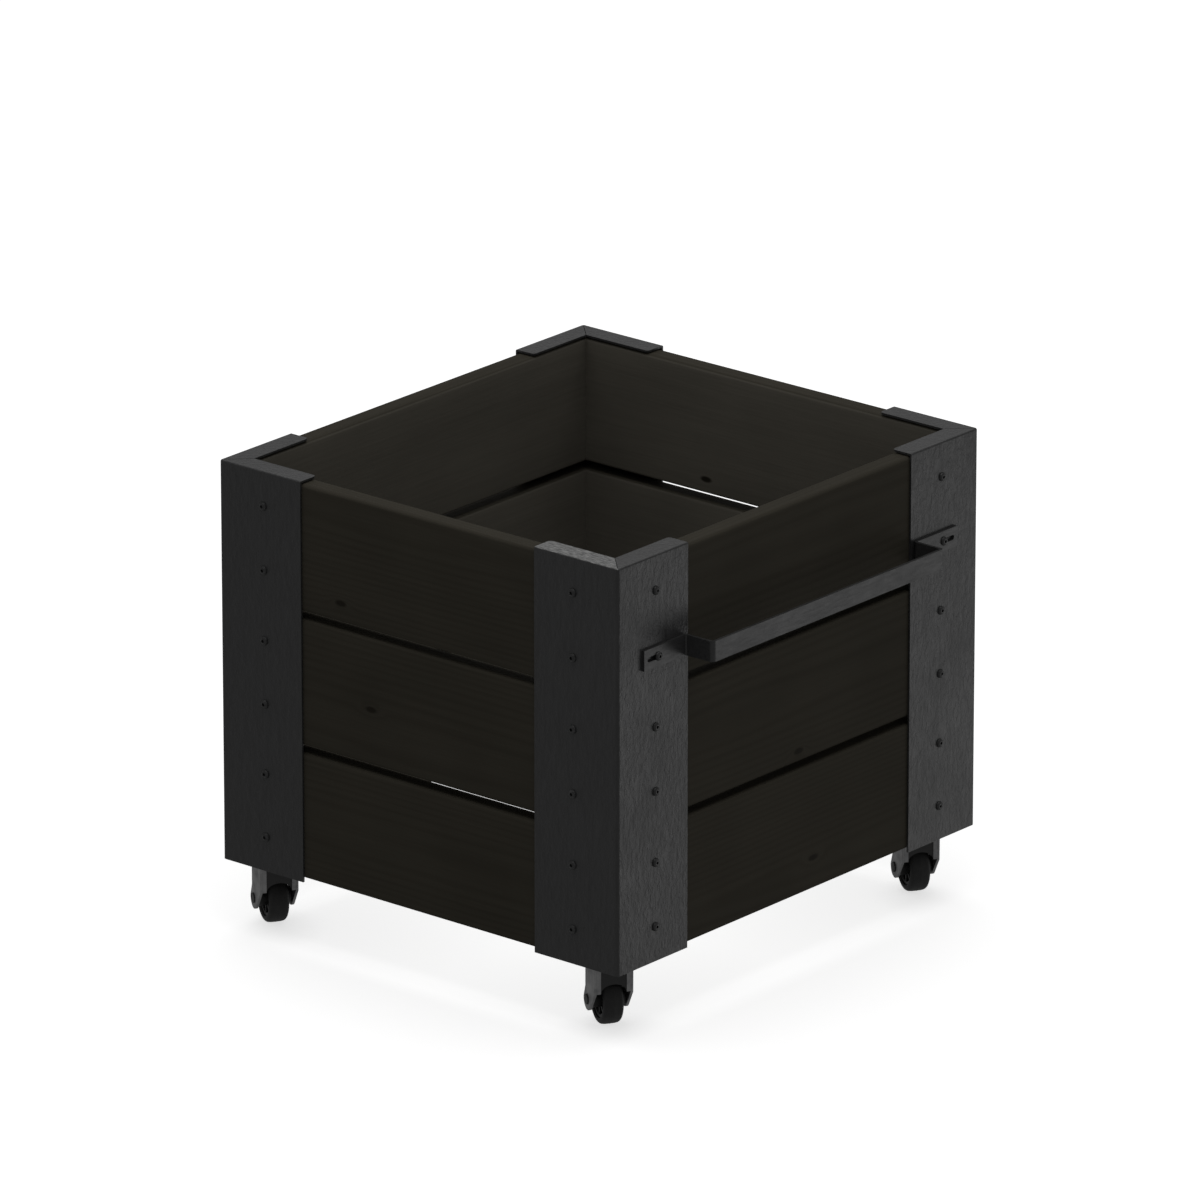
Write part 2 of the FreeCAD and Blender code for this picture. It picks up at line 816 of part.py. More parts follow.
def make_fork(label):
    """The pressed fork: a bent channel whose legs narrow to round ends at the axle."""
    body = new_body(label)
    half = size("fork_width") / 2.0
    steel = size("fork_sheet")
    trail = size("castor_trail")
    end = size("fork_end_radius")
    foot = axle_drop - end
    crown_radius = half

    channel = new_sketch(body, "YZ_Plane", -crown_radius)
    polygon(channel, [
        (-half, foot),
        (-half + steel, foot),
        (-half + steel, crown_bottom),
        (half - steel, crown_bottom),
        (half - steel, foot),
        (half, foot),
        (half, crown_top),
        (-half, crown_top),
    ])
    pad(body, channel, crown_radius + trail + end)
    round_edges(
        body,
        lambda e: runs_along(e, X_AXIS) and near(e.CenterOfMass.z, crown_top),
        size("fork_bend"),
    )
    # the side profile: upright legs that slant back to a round end under the axle
    lead = -size("fork_lead")
    taper = axle_drop + size("fork_taper_height")
    heel = trail + end
    toe = trail - end / 2.0
    back = trail + end / 2.0
    far = crown_radius + heel
    front = new_sketch(body, "XZ_Plane")
    polygon(front, [
        (-far, crown_bottom),
        (lead, crown_bottom),
        (lead, taper),
        (toe, foot),
        (toe, foot - end),
        (-far, foot - end),
    ])
    pocket(body, front, 4.0 * half, symmetric=True)
    rear = new_sketch(body, "XZ_Plane")
    polygon(rear, [
        (far, crown_top + steel),
        (back, crown_top + steel),
        (back, taper),
        (heel, axle_drop),
        (heel, foot - end),
        (far, foot - end),
    ])
    pocket(body, rear, 4.0 * half, symmetric=True)
    round_edges(
        body,
        lambda e: runs_along(e, Y_AXIS) and near(e.CenterOfMass.z, foot),
        FORK_TOE_ROUND * end,
    )
    # the crown is round in front of the swivel axis
    crown = new_sketch(body, "XY_Plane", crown_top + steel)
    round_front(crown, crown_radius)
    pocket(body, crown, 4.0 * steel)

    pin_hole = new_sketch(body, "XY_Plane", crown_top + steel)
    circle(pin_hole, ZERO, ZERO, size("kingpin_radius") + size("running_clearance"))
    pocket(body, pin_hole, 4.0 * steel)
    axle_hole = new_sketch(body, "XZ_Plane")
    circle(axle_hole, trail, axle_drop, size("axle_radius") + size("pilot_clearance"))
    pocket(body, axle_hole, 4.0 * half, symmetric=True)
    return body


def make_axle_bolt(label):
    """The axle bolt: a low round head on the +Y leg, its end flush with the nut on the -Y leg."""
    body = new_body(label)
    half = size("fork_width") / 2.0
    trail = size("castor_trail")
    shank = new_sketch(body, "XZ_Plane", -half)
    circle(shank, trail, axle_drop, size("axle_radius"))
    pad(body, shank, size("fork_width") + size("axle_nut_height"))
    head = new_sketch(body, "XZ_Plane", -(half + size("axle_head_height")))
    circle(head, trail, axle_drop, size("axle_head"))
    pad(body, head, size("axle_head_height"))
    return body


def make_axle_nut(label):
    """The low round nut on the axle bolt's thread."""
    body = new_body(label)
    trail = size("castor_trail")
    block = new_sketch(body, "XZ_Plane", size("fork_width") / 2.0)
    circle(block, trail, axle_drop, size("axle_head"))
    circle(block, trail, axle_drop, size("axle_radius") + size("pilot_clearance"))
    pad(body, block, size("axle_nut_height"))
    return body


def make_turned(label, points):
    """A ring about the wheel's axle: points are (radius, distance along the axle)."""
    body = new_body(label)
    trail = size("castor_trail")
    profile = new_sketch(body, "YZ_Plane", trail)
    polygon(profile, [(along, axle_drop + radius) for radius, along in points])
    feature = body.newObject("PartDesign::Revolution", body.Name + "_turn")
    feature.Profile = profile
    axle_line = profile.addGeometry(Part.LineSegment(
        Vector(-1, axle_drop.value, 0), Vector(1, axle_drop.value, 0)), True)
    pin_point(profile, axle_line, 1, plain(-1), axle_drop)
    pin_point(profile, axle_line, 2, plain(1), axle_drop)
    feature.ReferenceAxis = (profile, ["Axis0"])
    feature.Angle = 360.0
    body.Tip = feature
    document.recompute()
    return body


def make_wheel_core(label):
    """The moulded centre of the wheel: hub, web and rim."""
    bore = size("axle_radius") + size("running_clearance")
    hub = size("hub_radius")
    hub_half = size("fork_width") / 2.0 - size("fork_sheet") - size("hub_clearance")
    web = size("web_width") / 2.0
    rim = size("rim_radius") - size("pilot_clearance")
    rim_half = size("rim_width") / 2.0
    inner_rim = rim - 3.0
    return make_turned(label, [
        (bore, -hub_half),
        (hub, -hub_half),
        (hub, -web),
        (inner_rim, -web),
        (inner_rim, -rim_half),
        (rim, -rim_half),
        (rim, rim_half),
        (inner_rim, rim_half),
        (inner_rim, web),
        (hub, web),
        (hub, hub_half),
        (bore, hub_half),
    ])


def make_tyre(label):
    """The solid tyre, its shoulders rounded."""
    half = size("wheel_width") / 2.0
    body = make_turned(label, [
        (size("rim_radius"), -half),
        (size("wheel_radius"), -half),
        (size("wheel_radius"), half),
        (size("rim_radius"), half),
    ])

    def is_shoulder(edge):
        """Whether an edge is one of the two outer circles."""
        if edge.Curve.TypeId != "Part::GeomCircle":
            return False
        return near(edge.Curve.Radius, size("wheel_radius"))

    round_edges(body, is_shoulder, size("tyre_shoulder"))
    return body


def plate_fasteners(corner):
    """Three screws up into the boards, and a screw with a nut at the free inner hole."""
    side_x, side_y, turn = CORNERS[corner]
    underside = -size("plate_sheet").value
    solids = []
    for x, y in plate_hole_places():
        place = post_place(side_x, side_y, turn)
        place = place.multiply(Placement(Vector(x.value, y.value, underside), Rotation()))
        solids.append(placed(plate_screw, place))
    nut_x, nut_y = plate_hole_places()[-1]
    radius = size("plate_nut_across").value / math.sqrt(3.0)
    corners = [
        Vector(radius * math.cos(math.radians(60.0 * i)), radius * math.sin(math.radians(60.0 * i)), 0)
        for i in range(7)
    ]
    nut = Part.Face(Part.makePolygon(corners)).extrude(Vector(0, 0, size("plate_nut_height").value))
    bore_radius = size("plate_screw_shank").value / 2.0 + size("pilot_clearance").value
    nut = nut.cut(Part.makeCylinder(bore_radius, size("plate_nut_height").value))
    place = post_place(side_x, side_y, turn)
    place = place.multiply(Placement(Vector(nut_x.value, nut_y.value, post_sheet.value), Rotation()))
    solids.append(placed(nut, place))
    return solids


for corner, (side_x, side_y, turn) in CORNERS.items():
    angle = size("castor_angle").value
    keep_castor_part(make_castor_plate("castor_plate_" + corner), corner, 0.0)
    keep_castor_part(make_kingpin("castor_kingpin_" + corner), corner, 0.0)
    keep_castor_part(make_fork("castor_fork_" + corner), corner, angle)
    keep_castor_part(make_axle_bolt("castor_axle_bolt_" + corner), corner, angle)
    keep_castor_part(make_axle_nut("castor_axle_nut_" + corner), corner, angle)
    keep_castor_part(make_wheel_core("castor_wheel_core_" + corner), corner, angle)
    keep_castor_part(make_tyre("castor_tyre_" + corner), corner, angle)
    keep_group("castor_balls_" + corner, make_ball_ring(*castor_centre(side_x, side_y)))
    keep_group("castor_plate_screws_" + corner, plate_fasteners(corner))


# ----------------------------------------------------------------------------------- export

document.recompute()
for item in document.Objects:
    if "Invalid" in item.State or "Error" in item.State:
        raise RuntimeError("%s failed: %s" % (item.Label, item.State))
for item in sub_parts:
    if item.Shape.isNull() or not item.Shape.isValid():
        raise RuntimeError("%s has no valid shape" % item.Label)

os.makedirs("parts", exist_ok=True)
for item in sub_parts:
    item.Shape.exportStep("parts/%s.step" % item.Label)
    box = item.Shape.BoundBox
    print("%-34s solids %2d  volume %10.1f  x %7.1f %7.1f  y %7.1f %7.1f  z %6.1f %6.1f" % (
        item.Label, len(item.Shape.Solids), item.Shape.Volume,
        box.XMin, box.XMax, box.YMin, box.YMax, box.ZMin, box.ZMax))
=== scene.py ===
import json
import logging
import math
from dataclasses import dataclass, field, replace
from enum import Enum
from typing import Callable, Iterable, Sequence

import bmesh
import bpy
from mathutils import Matrix, Vector


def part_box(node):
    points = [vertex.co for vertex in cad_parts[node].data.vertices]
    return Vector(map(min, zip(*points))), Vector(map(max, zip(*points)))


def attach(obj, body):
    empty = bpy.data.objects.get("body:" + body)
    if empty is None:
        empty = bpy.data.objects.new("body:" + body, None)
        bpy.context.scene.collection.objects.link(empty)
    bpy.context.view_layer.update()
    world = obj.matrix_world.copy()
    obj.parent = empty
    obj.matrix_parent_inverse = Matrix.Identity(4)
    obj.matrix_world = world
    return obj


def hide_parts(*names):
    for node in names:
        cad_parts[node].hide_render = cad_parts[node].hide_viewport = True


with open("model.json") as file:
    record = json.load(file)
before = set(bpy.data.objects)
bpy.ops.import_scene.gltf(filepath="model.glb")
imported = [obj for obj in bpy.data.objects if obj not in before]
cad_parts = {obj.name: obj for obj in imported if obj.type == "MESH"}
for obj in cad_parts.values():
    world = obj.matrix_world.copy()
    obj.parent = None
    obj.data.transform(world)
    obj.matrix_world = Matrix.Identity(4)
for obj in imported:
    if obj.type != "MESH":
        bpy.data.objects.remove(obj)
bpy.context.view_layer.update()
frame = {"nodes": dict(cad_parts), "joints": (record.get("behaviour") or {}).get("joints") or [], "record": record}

logging.basicConfig(level=logging.INFO, format="%(message)s")
log = logging.getLogger("planter")

Colour = tuple[float, float, float]
Socket = bpy.types.NodeSocket


class Slot(Enum):
    """The record's material slots."""

    POST = "post_steel"
    HANDLE = "handle_steel"
    TIMBER = "timber"
    SCREW = "screw_black"
    ZINC = "castor_zinc"
    CORE = "wheel_core"
    TYRE = "tyre"


# ---------------------------------------------------------------------------------- wiring


class Wiring:
    """A node tree and short ways to add nodes to it and join them."""

    def __init__(self, tree: bpy.types.NodeTree) -> None:
        """Start wiring a tree.

        Args:
            tree: The shader or geometry node tree that the nodes go into.
        """
        self.tree = tree

    def node(self, kind: str, **settings: object) -> bpy.types.Node:
        """Add a node.

        Args:
            kind: Blender's name for the node's type.
            settings: The node's own properties.

        Returns:
            The new node.
        """
        made = self.tree.nodes.new(kind)
        for name, value in settings.items():
            setattr(made, name, value)
        return made

    def feed(self, socket: Socket, value: object) -> None:
        """Set an input to a plain value, or join it to another node's output.

        Args:
            socket: The input.
            value: The value or output, or None to leave the input as it is.
        """
        if isinstance(value, bpy.types.NodeSocket):
            self.tree.links.new(value, socket)
        elif value is not None:
            socket.default_value = value

    def wired(self, kind: str, inputs: dict[str | int, object], **settings: object) -> bpy.types.Node:
        """Add a node and feed its inputs.

        Args:
            kind: Blender's name for the node's type.
            inputs: What goes into it, by the input's name or number.
            settings: The node's own properties.

        Returns:
            The new node.
        """
        made = self.node(kind, **settings)
        for key, value in inputs.items():
            self.feed(made.inputs[key], value)
        return made

    def math(self, operation: str, a: object, b: object = None, c: object = None) -> Socket:
        """Add a Math node and return its output.

        Args:
            operation: The node's operation, such as MULTIPLY.
            a: The first number or output.
            b: The second, where the operation has one.
            c: The third, where the operation has one.

        Returns:
            The node's output.
        """
        return self.wired("ShaderNodeMath", {0: a, 1: b, 2: c}, operation=operation).outputs[0]

    def vector_math(self, operation: str, a: object, b: object = None) -> Socket:
        """Add a Vector Math node.

        Args:
            operation: The node's operation, such as ADD.
            a: The first vector or output.
            b: The second, where the operation has one.

        Returns:
            The node's vector.
        """
        return self.wired("ShaderNodeVectorMath", {0: a, 1: b}, operation=operation).outputs["Vector"]

    def xyz(self, x: object = None, y: object = None, z: object = None) -> Socket:
        """Join three numbers into a vector.

        Args:
            x: The number or output along X, or None for nought.
            y: The same along Y.
            z: The same along Z.

        Returns:
            The vector.
        """
        return self.wired("ShaderNodeCombineXYZ", {0: x, 1: y, 2: z}).outputs[0]

    def parts(self, vector: Socket) -> Sequence[Socket]:
        """A vector's three numbers."""
        return self.wired("ShaderNodeSeparateXYZ", {0: vector}).outputs

    def moved(self, geometry: Socket, shift: Socket) -> Socket:
        """Geometry moved by a vector."""
        return self.wired("GeometryNodeTransform", {"Geometry": geometry, "Translation": shift}).outputs[0]

    def cells(self, where: Socket, scale: float, dimensions: str) -> tuple[Socket, Socket]:
        """Add a Voronoi Texture.

        Args:
            where: The coordinates.
            scale: How many cells there are to a unit.
            dimensions: 2D or 3D.

        Returns:
            How far the nearest cell's middle is, and a number of its own from 0 to 1.
        """
        inputs = {"Vector": where, "Scale": scale}
        made = self.wired("ShaderNodeTexVoronoi", inputs, voronoi_dimensions=dimensions, feature="F1")
        split = self.wired("ShaderNodeSeparateColor", {0: made.outputs["Color"]})
        return made.outputs["Distance"], split.outputs[0]

    def noise(self, where: Socket, scale: float, detail: float = 3.0, rough: float = 0.5) -> Socket:
        """Add a three-dimensional Noise Texture.

        Args:
            where: The coordinates, in metres.
            scale: How many times a metre the pattern repeats.
            detail: The number of octaves.
            rough: How strong the finer octaves are.

        Returns:
            The noise, from 0 to 1.
        """
        inputs = {"Vector": where, "Scale": scale, "Detail": detail, "Roughness": rough}
        return self.wired("ShaderNodeTexNoise", inputs, noise_dimensions="3D").outputs[0]

    def stretched(self, where: Socket, scale: Sequence[float]) -> Socket:
        """Coordinates scaled by a different amount each way.

        Args:
            where: The coordinates.
            scale: The three amounts.

        Returns:
            The scaled coordinates.
        """
        inputs = {"Vector": where, "Scale": scale}
        return self.wired("ShaderNodeMapping", inputs, vector_type="POINT").outputs[0]

    def blend(self, share: object, a: object, b: object, kind: str = "MIX") -> Socket:
        """Mix two colours.

        Args:
            share: How much of b shows, from 0 to 1.
            a: The colour under it.
            b: The colour over it.
            kind: The way of mixing, such as MULTIPLY.

        Returns:
            The mixed colour.
        """
        made = self.node("ShaderNodeMix", data_type="RGBA", blend_type=kind)
        inputs = [s for s in made.inputs if s.type == "RGBA"]
        self.feed(made.inputs[0], share)
        self.feed(inputs[0], _rgba(a))
        self.feed(inputs[1], _rgba(b))
        return next(s for s in made.outputs if s.type == "RGBA")

    def spread(self, value: Socket, low: float, high: float, out_low: float, out_high: float) -> Socket:
        """Move a value's range to another, held at both ends.

        Args:
            value: The value.
            low: Where its range starts.
            high: Where its range ends.
            out_low: What it is at the start.
            out_high: What it is at the end.

        Returns:
            The moved value.
        """
        inputs = dict(enumerate((value, low, high, out_low, out_high)))
        return self.wired("ShaderNodeMapRange", inputs, clamp=True).outputs[0]

    def bump(self, height: Socket, depth: float, strength: float, under: Socket | None = None) -> Socket:
        """Add a Bump node.

        Args:
            height: The relief, from 0 to 1.
            depth: How deep the relief is, in metres.
            strength: How much of it shows.
            under: The normal of a coarser relief, if there is one.

        Returns:
            The bumped normal.
        """
        inputs = {"Height": height, "Distance": depth, "Strength": strength, "Normal": under}
        return self.wired("ShaderNodeBump", inputs).outputs[0]


def _rgba(colour: object) -> object:
    """A colour of three numbers with its alpha, and anything else unchanged."""
    return (*colour, 1.0) if isinstance(colour, tuple) and len(colour) == 3 else colour


# -------------------------------------------------------------------------------- finishes


@dataclass(frozen=True)
class Finish:
    """What every finish has: a name, a roughness and how strongly it mirrors."""

    name: str
    roughness: float = 0.5
    specular: float = 0.5
    metallic: float = 0.0

    def material(self) -> bpy.types.Material:
        """Build the material, unless it is built already.

        Returns:
            The material.
        """
        known = bpy.data.materials.get(self.name)
        if known is not None:
            return known
        made = bpy.data.materials.new(self.name)
        made.use_nodes = True
        made.node_tree.nodes.clear()
        wiring = Wiring(made.node_tree)
        shader = wiring.wired("ShaderNodeBsdfPrincipled", {
            "Roughness": self.roughness,
            "Specular IOR Level": self.specular,
            "Metallic": self.metallic,
        })
        self.paint(wiring, shader)
        wiring.wired("ShaderNodeOutputMaterial", {"Surface": shader.outputs[0]})
        return made

    def paint(self, wiring: Wiring, shader: bpy.types.Node) -> None:
        """Wire the pattern into the shader; each finish has its own.

        Args:
            wiring: The material's wiring.
            shader: The material's Principled node.
        """
        raise NotImplementedError

    def place(self, wiring: Wiring) -> Socket:
        """Object coordinates, in metres."""
        return wiring.node("ShaderNodeTexCoord").outputs["Object"]


@dataclass(frozen=True)
class StainedTimber(Finish):
    """Planed softwood under a black-brown stain: growth rings, knots and fibres.

    It reads two attributes: "timber", a point's place in the log that its board was sawn from,
    and "inside", which is 1 on the face towards the planter's inside, where the colour is paler.
    """

    early: Colour = (0.0412, 0.0372, 0.0288)
    late: Colour = (0.0372, 0.0334, 0.0256)
    knot: Colour = (0.0165, 0.0142, 0.0104)
    inside_pale: Colour = (0.1000, 0.0925, 0.0765)
    ring_width: float = 0.0052
    ring_wander: float = 0.010
    ring_sharpness: float = 1.8
    knots_along: float = 3.1
    knots_across: float = 7.0
    knot_size: float = 0.026
    knot_share: float = 0.55
    knot_heart: float = 0.55
    knot_reach: float = 3.2
    knot_pull: float = 0.011
    wander_grain: tuple[float, float, float] = (1.6, 9.0, 9.0)
    fibre_grain: tuple[float, float, float] = (14.0, 620.0, 620.0)
    streak_grain: tuple[float, float, float] = (3.0, 70.0, 70.0)
    cloud_scale: float = 9.0
    fibre_depth: float = 0.00010
    ring_depth: float = 0.00005

    def paint(self, wiring: Wiring, shader: bpy.types.Node) -> None:
        """Wire rings, knots and fibres into colour, roughness and relief.

        Args:
            wiring: The material's wiring.
            shader: The material's Principled node.
        """
        place = wiring.node("ShaderNodeAttribute", attribute_name="timber").outputs["Vector"]
        inside = wiring.node("ShaderNodeAttribute", attribute_name="inside").outputs["Fac"]
        along, through, across = wiring.parts(place)

        distance, chance = self._nearest_knot(wiring, along, across)
        there = wiring.math("LESS_THAN", chance, self.knot_share)
        pull = wiring.spread(distance, 0.0, self.knot_reach * self.knot_size, 1.0, 0.0)
        pull = wiring.math("MULTIPLY", wiring.math("POWER", pull, 2.0), there)

        slow = wiring.noise(wiring.stretched(place, self.wander_grain), 1.0, 2.0)
        wander = wiring.math("MULTIPLY", wiring.math("SUBTRACT", slow, 0.5), 2.0 * self.ring_wander)
        squares = wiring.math("ADD", wiring.math("POWER", through, 2.0), wiring.math("POWER", across, 2.0))
        radius = wiring.math("ADD", wiring.math("SQRT", squares), wander)
        radius = wiring.math("MULTIPLY_ADD", pull, self.knot_pull, radius)
        turns = wiring.math("MULTIPLY", radius, 2.0 * math.pi / self.ring_width)
        ring = wiring.math("MULTIPLY_ADD", wiring.math("SINE", turns), 0.5, 0.5)
        ring = wiring.math("POWER", ring, self.ring_sharpness)

        fibre = wiring.noise(wiring.stretched(place, self.fibre_grain), 1.0, 4.0, 0.62)
        streak = wiring.noise(wiring.stretched(place, self.streak_grain), 1.0, 3.0, 0.55)
        cloud = wiring.noise(place, self.cloud_scale, 2.0)

        colour = wiring.blend(ring, self.early, self.late)
        # Paler colour on the face towards the planter's inside.
        colour = wiring.blend(inside, colour, self.inside_pale)
        fine = wiring.spread(fibre, 0.3, 0.7, 0.93, 1.07)
        shade = wiring.math("ADD", fine, wiring.spread(streak, 0.25, 0.75, -0.045, 0.045))
        shade = wiring.math("MULTIPLY", shade, wiring.spread(cloud, 0.3, 0.7, 0.93, 1.07))
        colour = wiring.blend(1.0, colour, wiring.xyz(shade, shade, shade), "MULTIPLY")
        heart = wiring.spread(distance, self.knot_heart * self.knot_size, self.knot_size, 1.0, 0.0)
        heart = wiring.math("MULTIPLY", heart, there)
        wiring.feed(shader.inputs["Base Color"], wiring.blend(heart, colour, self.knot))

        rough = wiring.spread(fibre, 0.25, 0.75, self.roughness - 0.08, self.roughness + 0.08)
        wiring.feed(shader.inputs["Roughness"], wiring.math("MULTIPLY_ADD", heart, -0.12, rough))
        coarse = wiring.bump(wiring.math("SUBTRACT", 1.0, ring), self.ring_depth, 0.5)
        wiring.feed(shader.inputs["Normal"], wiring.bump(fibre, self.fibre_depth, 0.55, coarse))

    def _nearest_knot(self, wiring: Wiring, along: Socket, across: Socket) -> tuple[Socket, Socket]:
        """Find the nearest knot, on a plane that is stretched along the board.

        Args:
            wiring: The material's wiring.
            along: The place along the board.
            across: The place across it.

        Returns:
            How far the knot is, in the stretched scale, and a number of its own from 0 to 1.
        """
        along = wiring.math("MULTIPLY", along, self.knots_along)
        across = wiring.math("MULTIPLY", across, self.knots_across)
        return wiring.cells(wiring.xyz(along, across), 1.0, "2D")


@dataclass(frozen=True)
class PowderCoat(Finish):
    """Dark powder coat over brushed sheet: upright streaks, a fine grit and an orange-peel skin."""

    colour: Colour = (0.0225, 0.0225, 0.0228)
    pale: Colour = (0.0400, 0.0400, 0.0405)
    streaks: tuple[float, float, float] = (420.0, 420.0, 60.0)
    wrinkles: tuple[float, float, float] = (230.0, 230.0, 140.0)
    grit_scale: float = 900.0
    grit_depth: float = 0.00006
    streak_depth: float = 0.00005
    wrinkle_depth: float = 0.00065
    cloud_scale: float = 11.0
    brushing: tuple[float, float, float] = (130.0, 800.0, 800.0)
    # A box on the sheet and a pale colour for a painted highlight, broken up by the brushed streaks.
    highlight_low: tuple[float, float, float] | None = None
    highlight_high: tuple[float, float, float] | None = None
    painted_highlight: Colour = (0.230, 0.230, 0.226)

    def paint(self, wiring: Wiring, shader: bpy.types.Node) -> None:
        """Wire the streaks, grit, clouding and any painted highlight into colour, roughness and relief.

        Args:
            wiring: The material's wiring.
            shader: The material's Principled node.
        """
        place = self.place(wiring)
        streak = wiring.noise(wiring.stretched(place, self.streaks), 1.0, 3.0, 0.6)
        grit = wiring.noise(place, self.grit_scale, 2.0, 0.6)
        cloud = wiring.noise(place, self.cloud_scale, 3.0, 0.55)
        streaked = wiring.spread(streak, 0.35, 0.72, 0.0, 0.62)
        pale = wiring.math("ADD", streaked, wiring.spread(grit, 0.5, 0.75, 0.0, 0.40))
        pale = wiring.math("MULTIPLY", pale, wiring.spread(cloud, 0.3, 0.7, 0.65, 1.1))
        colour = wiring.blend(pale, self.colour, self.pale)
        # Painted highlight: pale colour inside the box, along the brushed streaks.
        if self.highlight_low is not None:
            brushed = wiring.noise(wiring.stretched(place, self.brushing), 1.0, 4.0, 0.65)
            brushed = wiring.spread(brushed, 0.40, 0.60, 0.10, 1.0)
            share = wiring.math("MULTIPLY", self._within(wiring, place), brushed)
            colour = wiring.blend(share, colour, self.painted_highlight)
        wiring.feed(shader.inputs["Base Color"], colour)
        rough = wiring.spread(streak, 0.3, 0.7, self.roughness - 0.07, self.roughness + 0.07)
        rough = wiring.math("ADD", rough, wiring.spread(cloud, 0.3, 0.7, -0.04, 0.05))
        wiring.feed(shader.inputs["Roughness"], rough)
        wrinkle = wiring.noise(wiring.stretched(place, self.wrinkles), 1.0, 3.0, 0.6)
        skin = wiring.bump(wiring.spread(wrinkle, 0.42, 0.70, 0.0, 1.0), self.wrinkle_depth, 0.4)
        skin = wiring.bump(streak, self.streak_depth, 0.5, skin)
        wiring.feed(shader.inputs["Normal"], wiring.bump(grit, self.grit_depth, 0.55, skin))

    def _within(self, wiring: Wiring, place: Socket) -> Socket:
        """Mark the box of painted highlight, as far as its mitre.

        Args:
            wiring: The material's wiring.
            place: The coordinates.

        Returns:
            1 inside the box and short of the mitre, and 0 elsewhere.
        """
        along, outwards, up = wiring.parts(place)
        share: object = 1.0
        for part, low, high in zip((along, outwards, up), self.highlight_low, self.highlight_high):
            share = wiring.math("MULTIPLY", share, wiring.math("GREATER_THAN", part, low))
            share = wiring.math("MULTIPLY", share, wiring.math("LESS_THAN", part, high))
        to_end = wiring.math("SUBTRACT", self.highlight_high[0], along)
        to_front = wiring.math("SUBTRACT", outwards, self.highlight_low[1])
        return wiring.math("MULTIPLY", share, wiring.math("GREATER_THAN", to_end, to_front))


@dataclass(frozen=True)
class ZincPlate(Finish):
    """Dull zinc plate on pressed steel: a soft spangle, handling marks and dull patches."""

    colour: Colour = (0.30, 0.30, 0.30)
    dull: Colour = (0.19, 0.19, 0.195)
    spangle_scale: float = 260.0
    patch_scale: float = 85.0
    grain_scale: float = 1500.0
    grain_depth: float = 0.00003

    def paint(self, wiring: Wiring, shader: bpy.types.Node) -> None:
        """Wire the spangle and the dull patches into colour, roughness and relief.

        Args:
            wiring: The material's wiring.
            shader: The material's Principled node.
        """
        place = self.place(wiring)
        _, chance = wiring.cells(place, self.spangle_scale, "3D")
        patch = wiring.noise(place, self.patch_scale, 4.0, 0.6)
        grain = wiring.noise(place, self.grain_scale, 2.0)
        patched = wiring.spread(patch, 0.35, 0.68, 0.0, 0.85)
        share = wiring.math("ADD", patched, wiring.spread(chance, 0.0, 1.0, -0.1, 0.15))
        wiring.feed(shader.inputs["Base Color"], wiring.blend(share, self.colour, self.dull))
        rough = wiring.spread(patch, 0.3, 0.7, self.roughness - 0.08, self.roughness + 0.12)
        wiring.feed(shader.inputs["Roughness"], rough)
        wiring.feed(shader.inputs["Normal"], wiring.bump(grain, self.grain_depth, 0.5))


@dataclass(frozen=True)
class BlackedSteel(Finish):
    """Black coated screws: a thin coat that is worn a little brighter in patches."""

    colour: Colour = (0.012, 0.012, 0.012)
    worn: Colour = (0.045, 0.045, 0.046)
    wear_scale: float = 420.0
    grain_scale: float = 2600.0
    grain_depth: float = 0.00002

    def paint(self, wiring: Wiring, shader: bpy.types.Node) -> None:
        """Wire the wear into colour and roughness, and a fine grain into the relief.

        Args:
            wiring: The material's wiring.
            shader: The material's Principled node.
        """
        place = self.place(wiring)
        wear = wiring.noise(place, self.wear_scale, 3.0, 0.6)
        grain = wiring.noise(place, self.grain_scale, 2.0)
        share = wiring.spread(wear, 0.5, 0.75, 0.0, 1.0)
        wiring.feed(shader.inputs["Base Color"], wiring.blend(share, self.colour, self.worn))
        rough = wiring.spread(wear, 0.3, 0.7, self.roughness + 0.08, self.roughness - 0.08)
        wiring.feed(shader.inputs["Roughness"], rough)
        wiring.feed(shader.inputs["Normal"], wiring.bump(grain, self.grain_depth, 0.4))


@dataclass(frozen=True)
class Moulded(Finish):
    """Black rubber or plastic from a mould: a fine matt skin with a little dust on it."""

    colour: Colour = (0.011, 0.011, 0.011)
    dust: Colour = (0.040, 0.038, 0.035)
    dust_share: float = 0.35
    dust_scale: float = 140.0
    skin_scale: float = 1100.0
    skin_depth: float = 0.00005

    def paint(self, wiring: Wiring, shader: bpy.types.Node) -> None:
        """Wire the dust into colour and roughness, and the skin into the relief.

        Args:
            wiring: The material's wiring.
            shader: The material's Principled node.
        """
        place = self.place(wiring)
        dust = wiring.noise(place, self.dust_scale, 5.0, 0.62)
        skin = wiring.noise(place, self.skin_scale, 3.0, 0.6)
        share = wiring.spread(dust, 0.48, 0.8, 0.0, self.dust_share)
        wiring.feed(shader.inputs["Base Color"], wiring.blend(share, self.colour, self.dust))
        rough = wiring.spread(skin, 0.3, 0.7, self.roughness - 0.06, self.roughness + 0.08)
        wiring.feed(shader.inputs["Roughness"], rough)
        wiring.feed(shader.inputs["Normal"], wiring.bump(skin, self.skin_depth, 0.5))


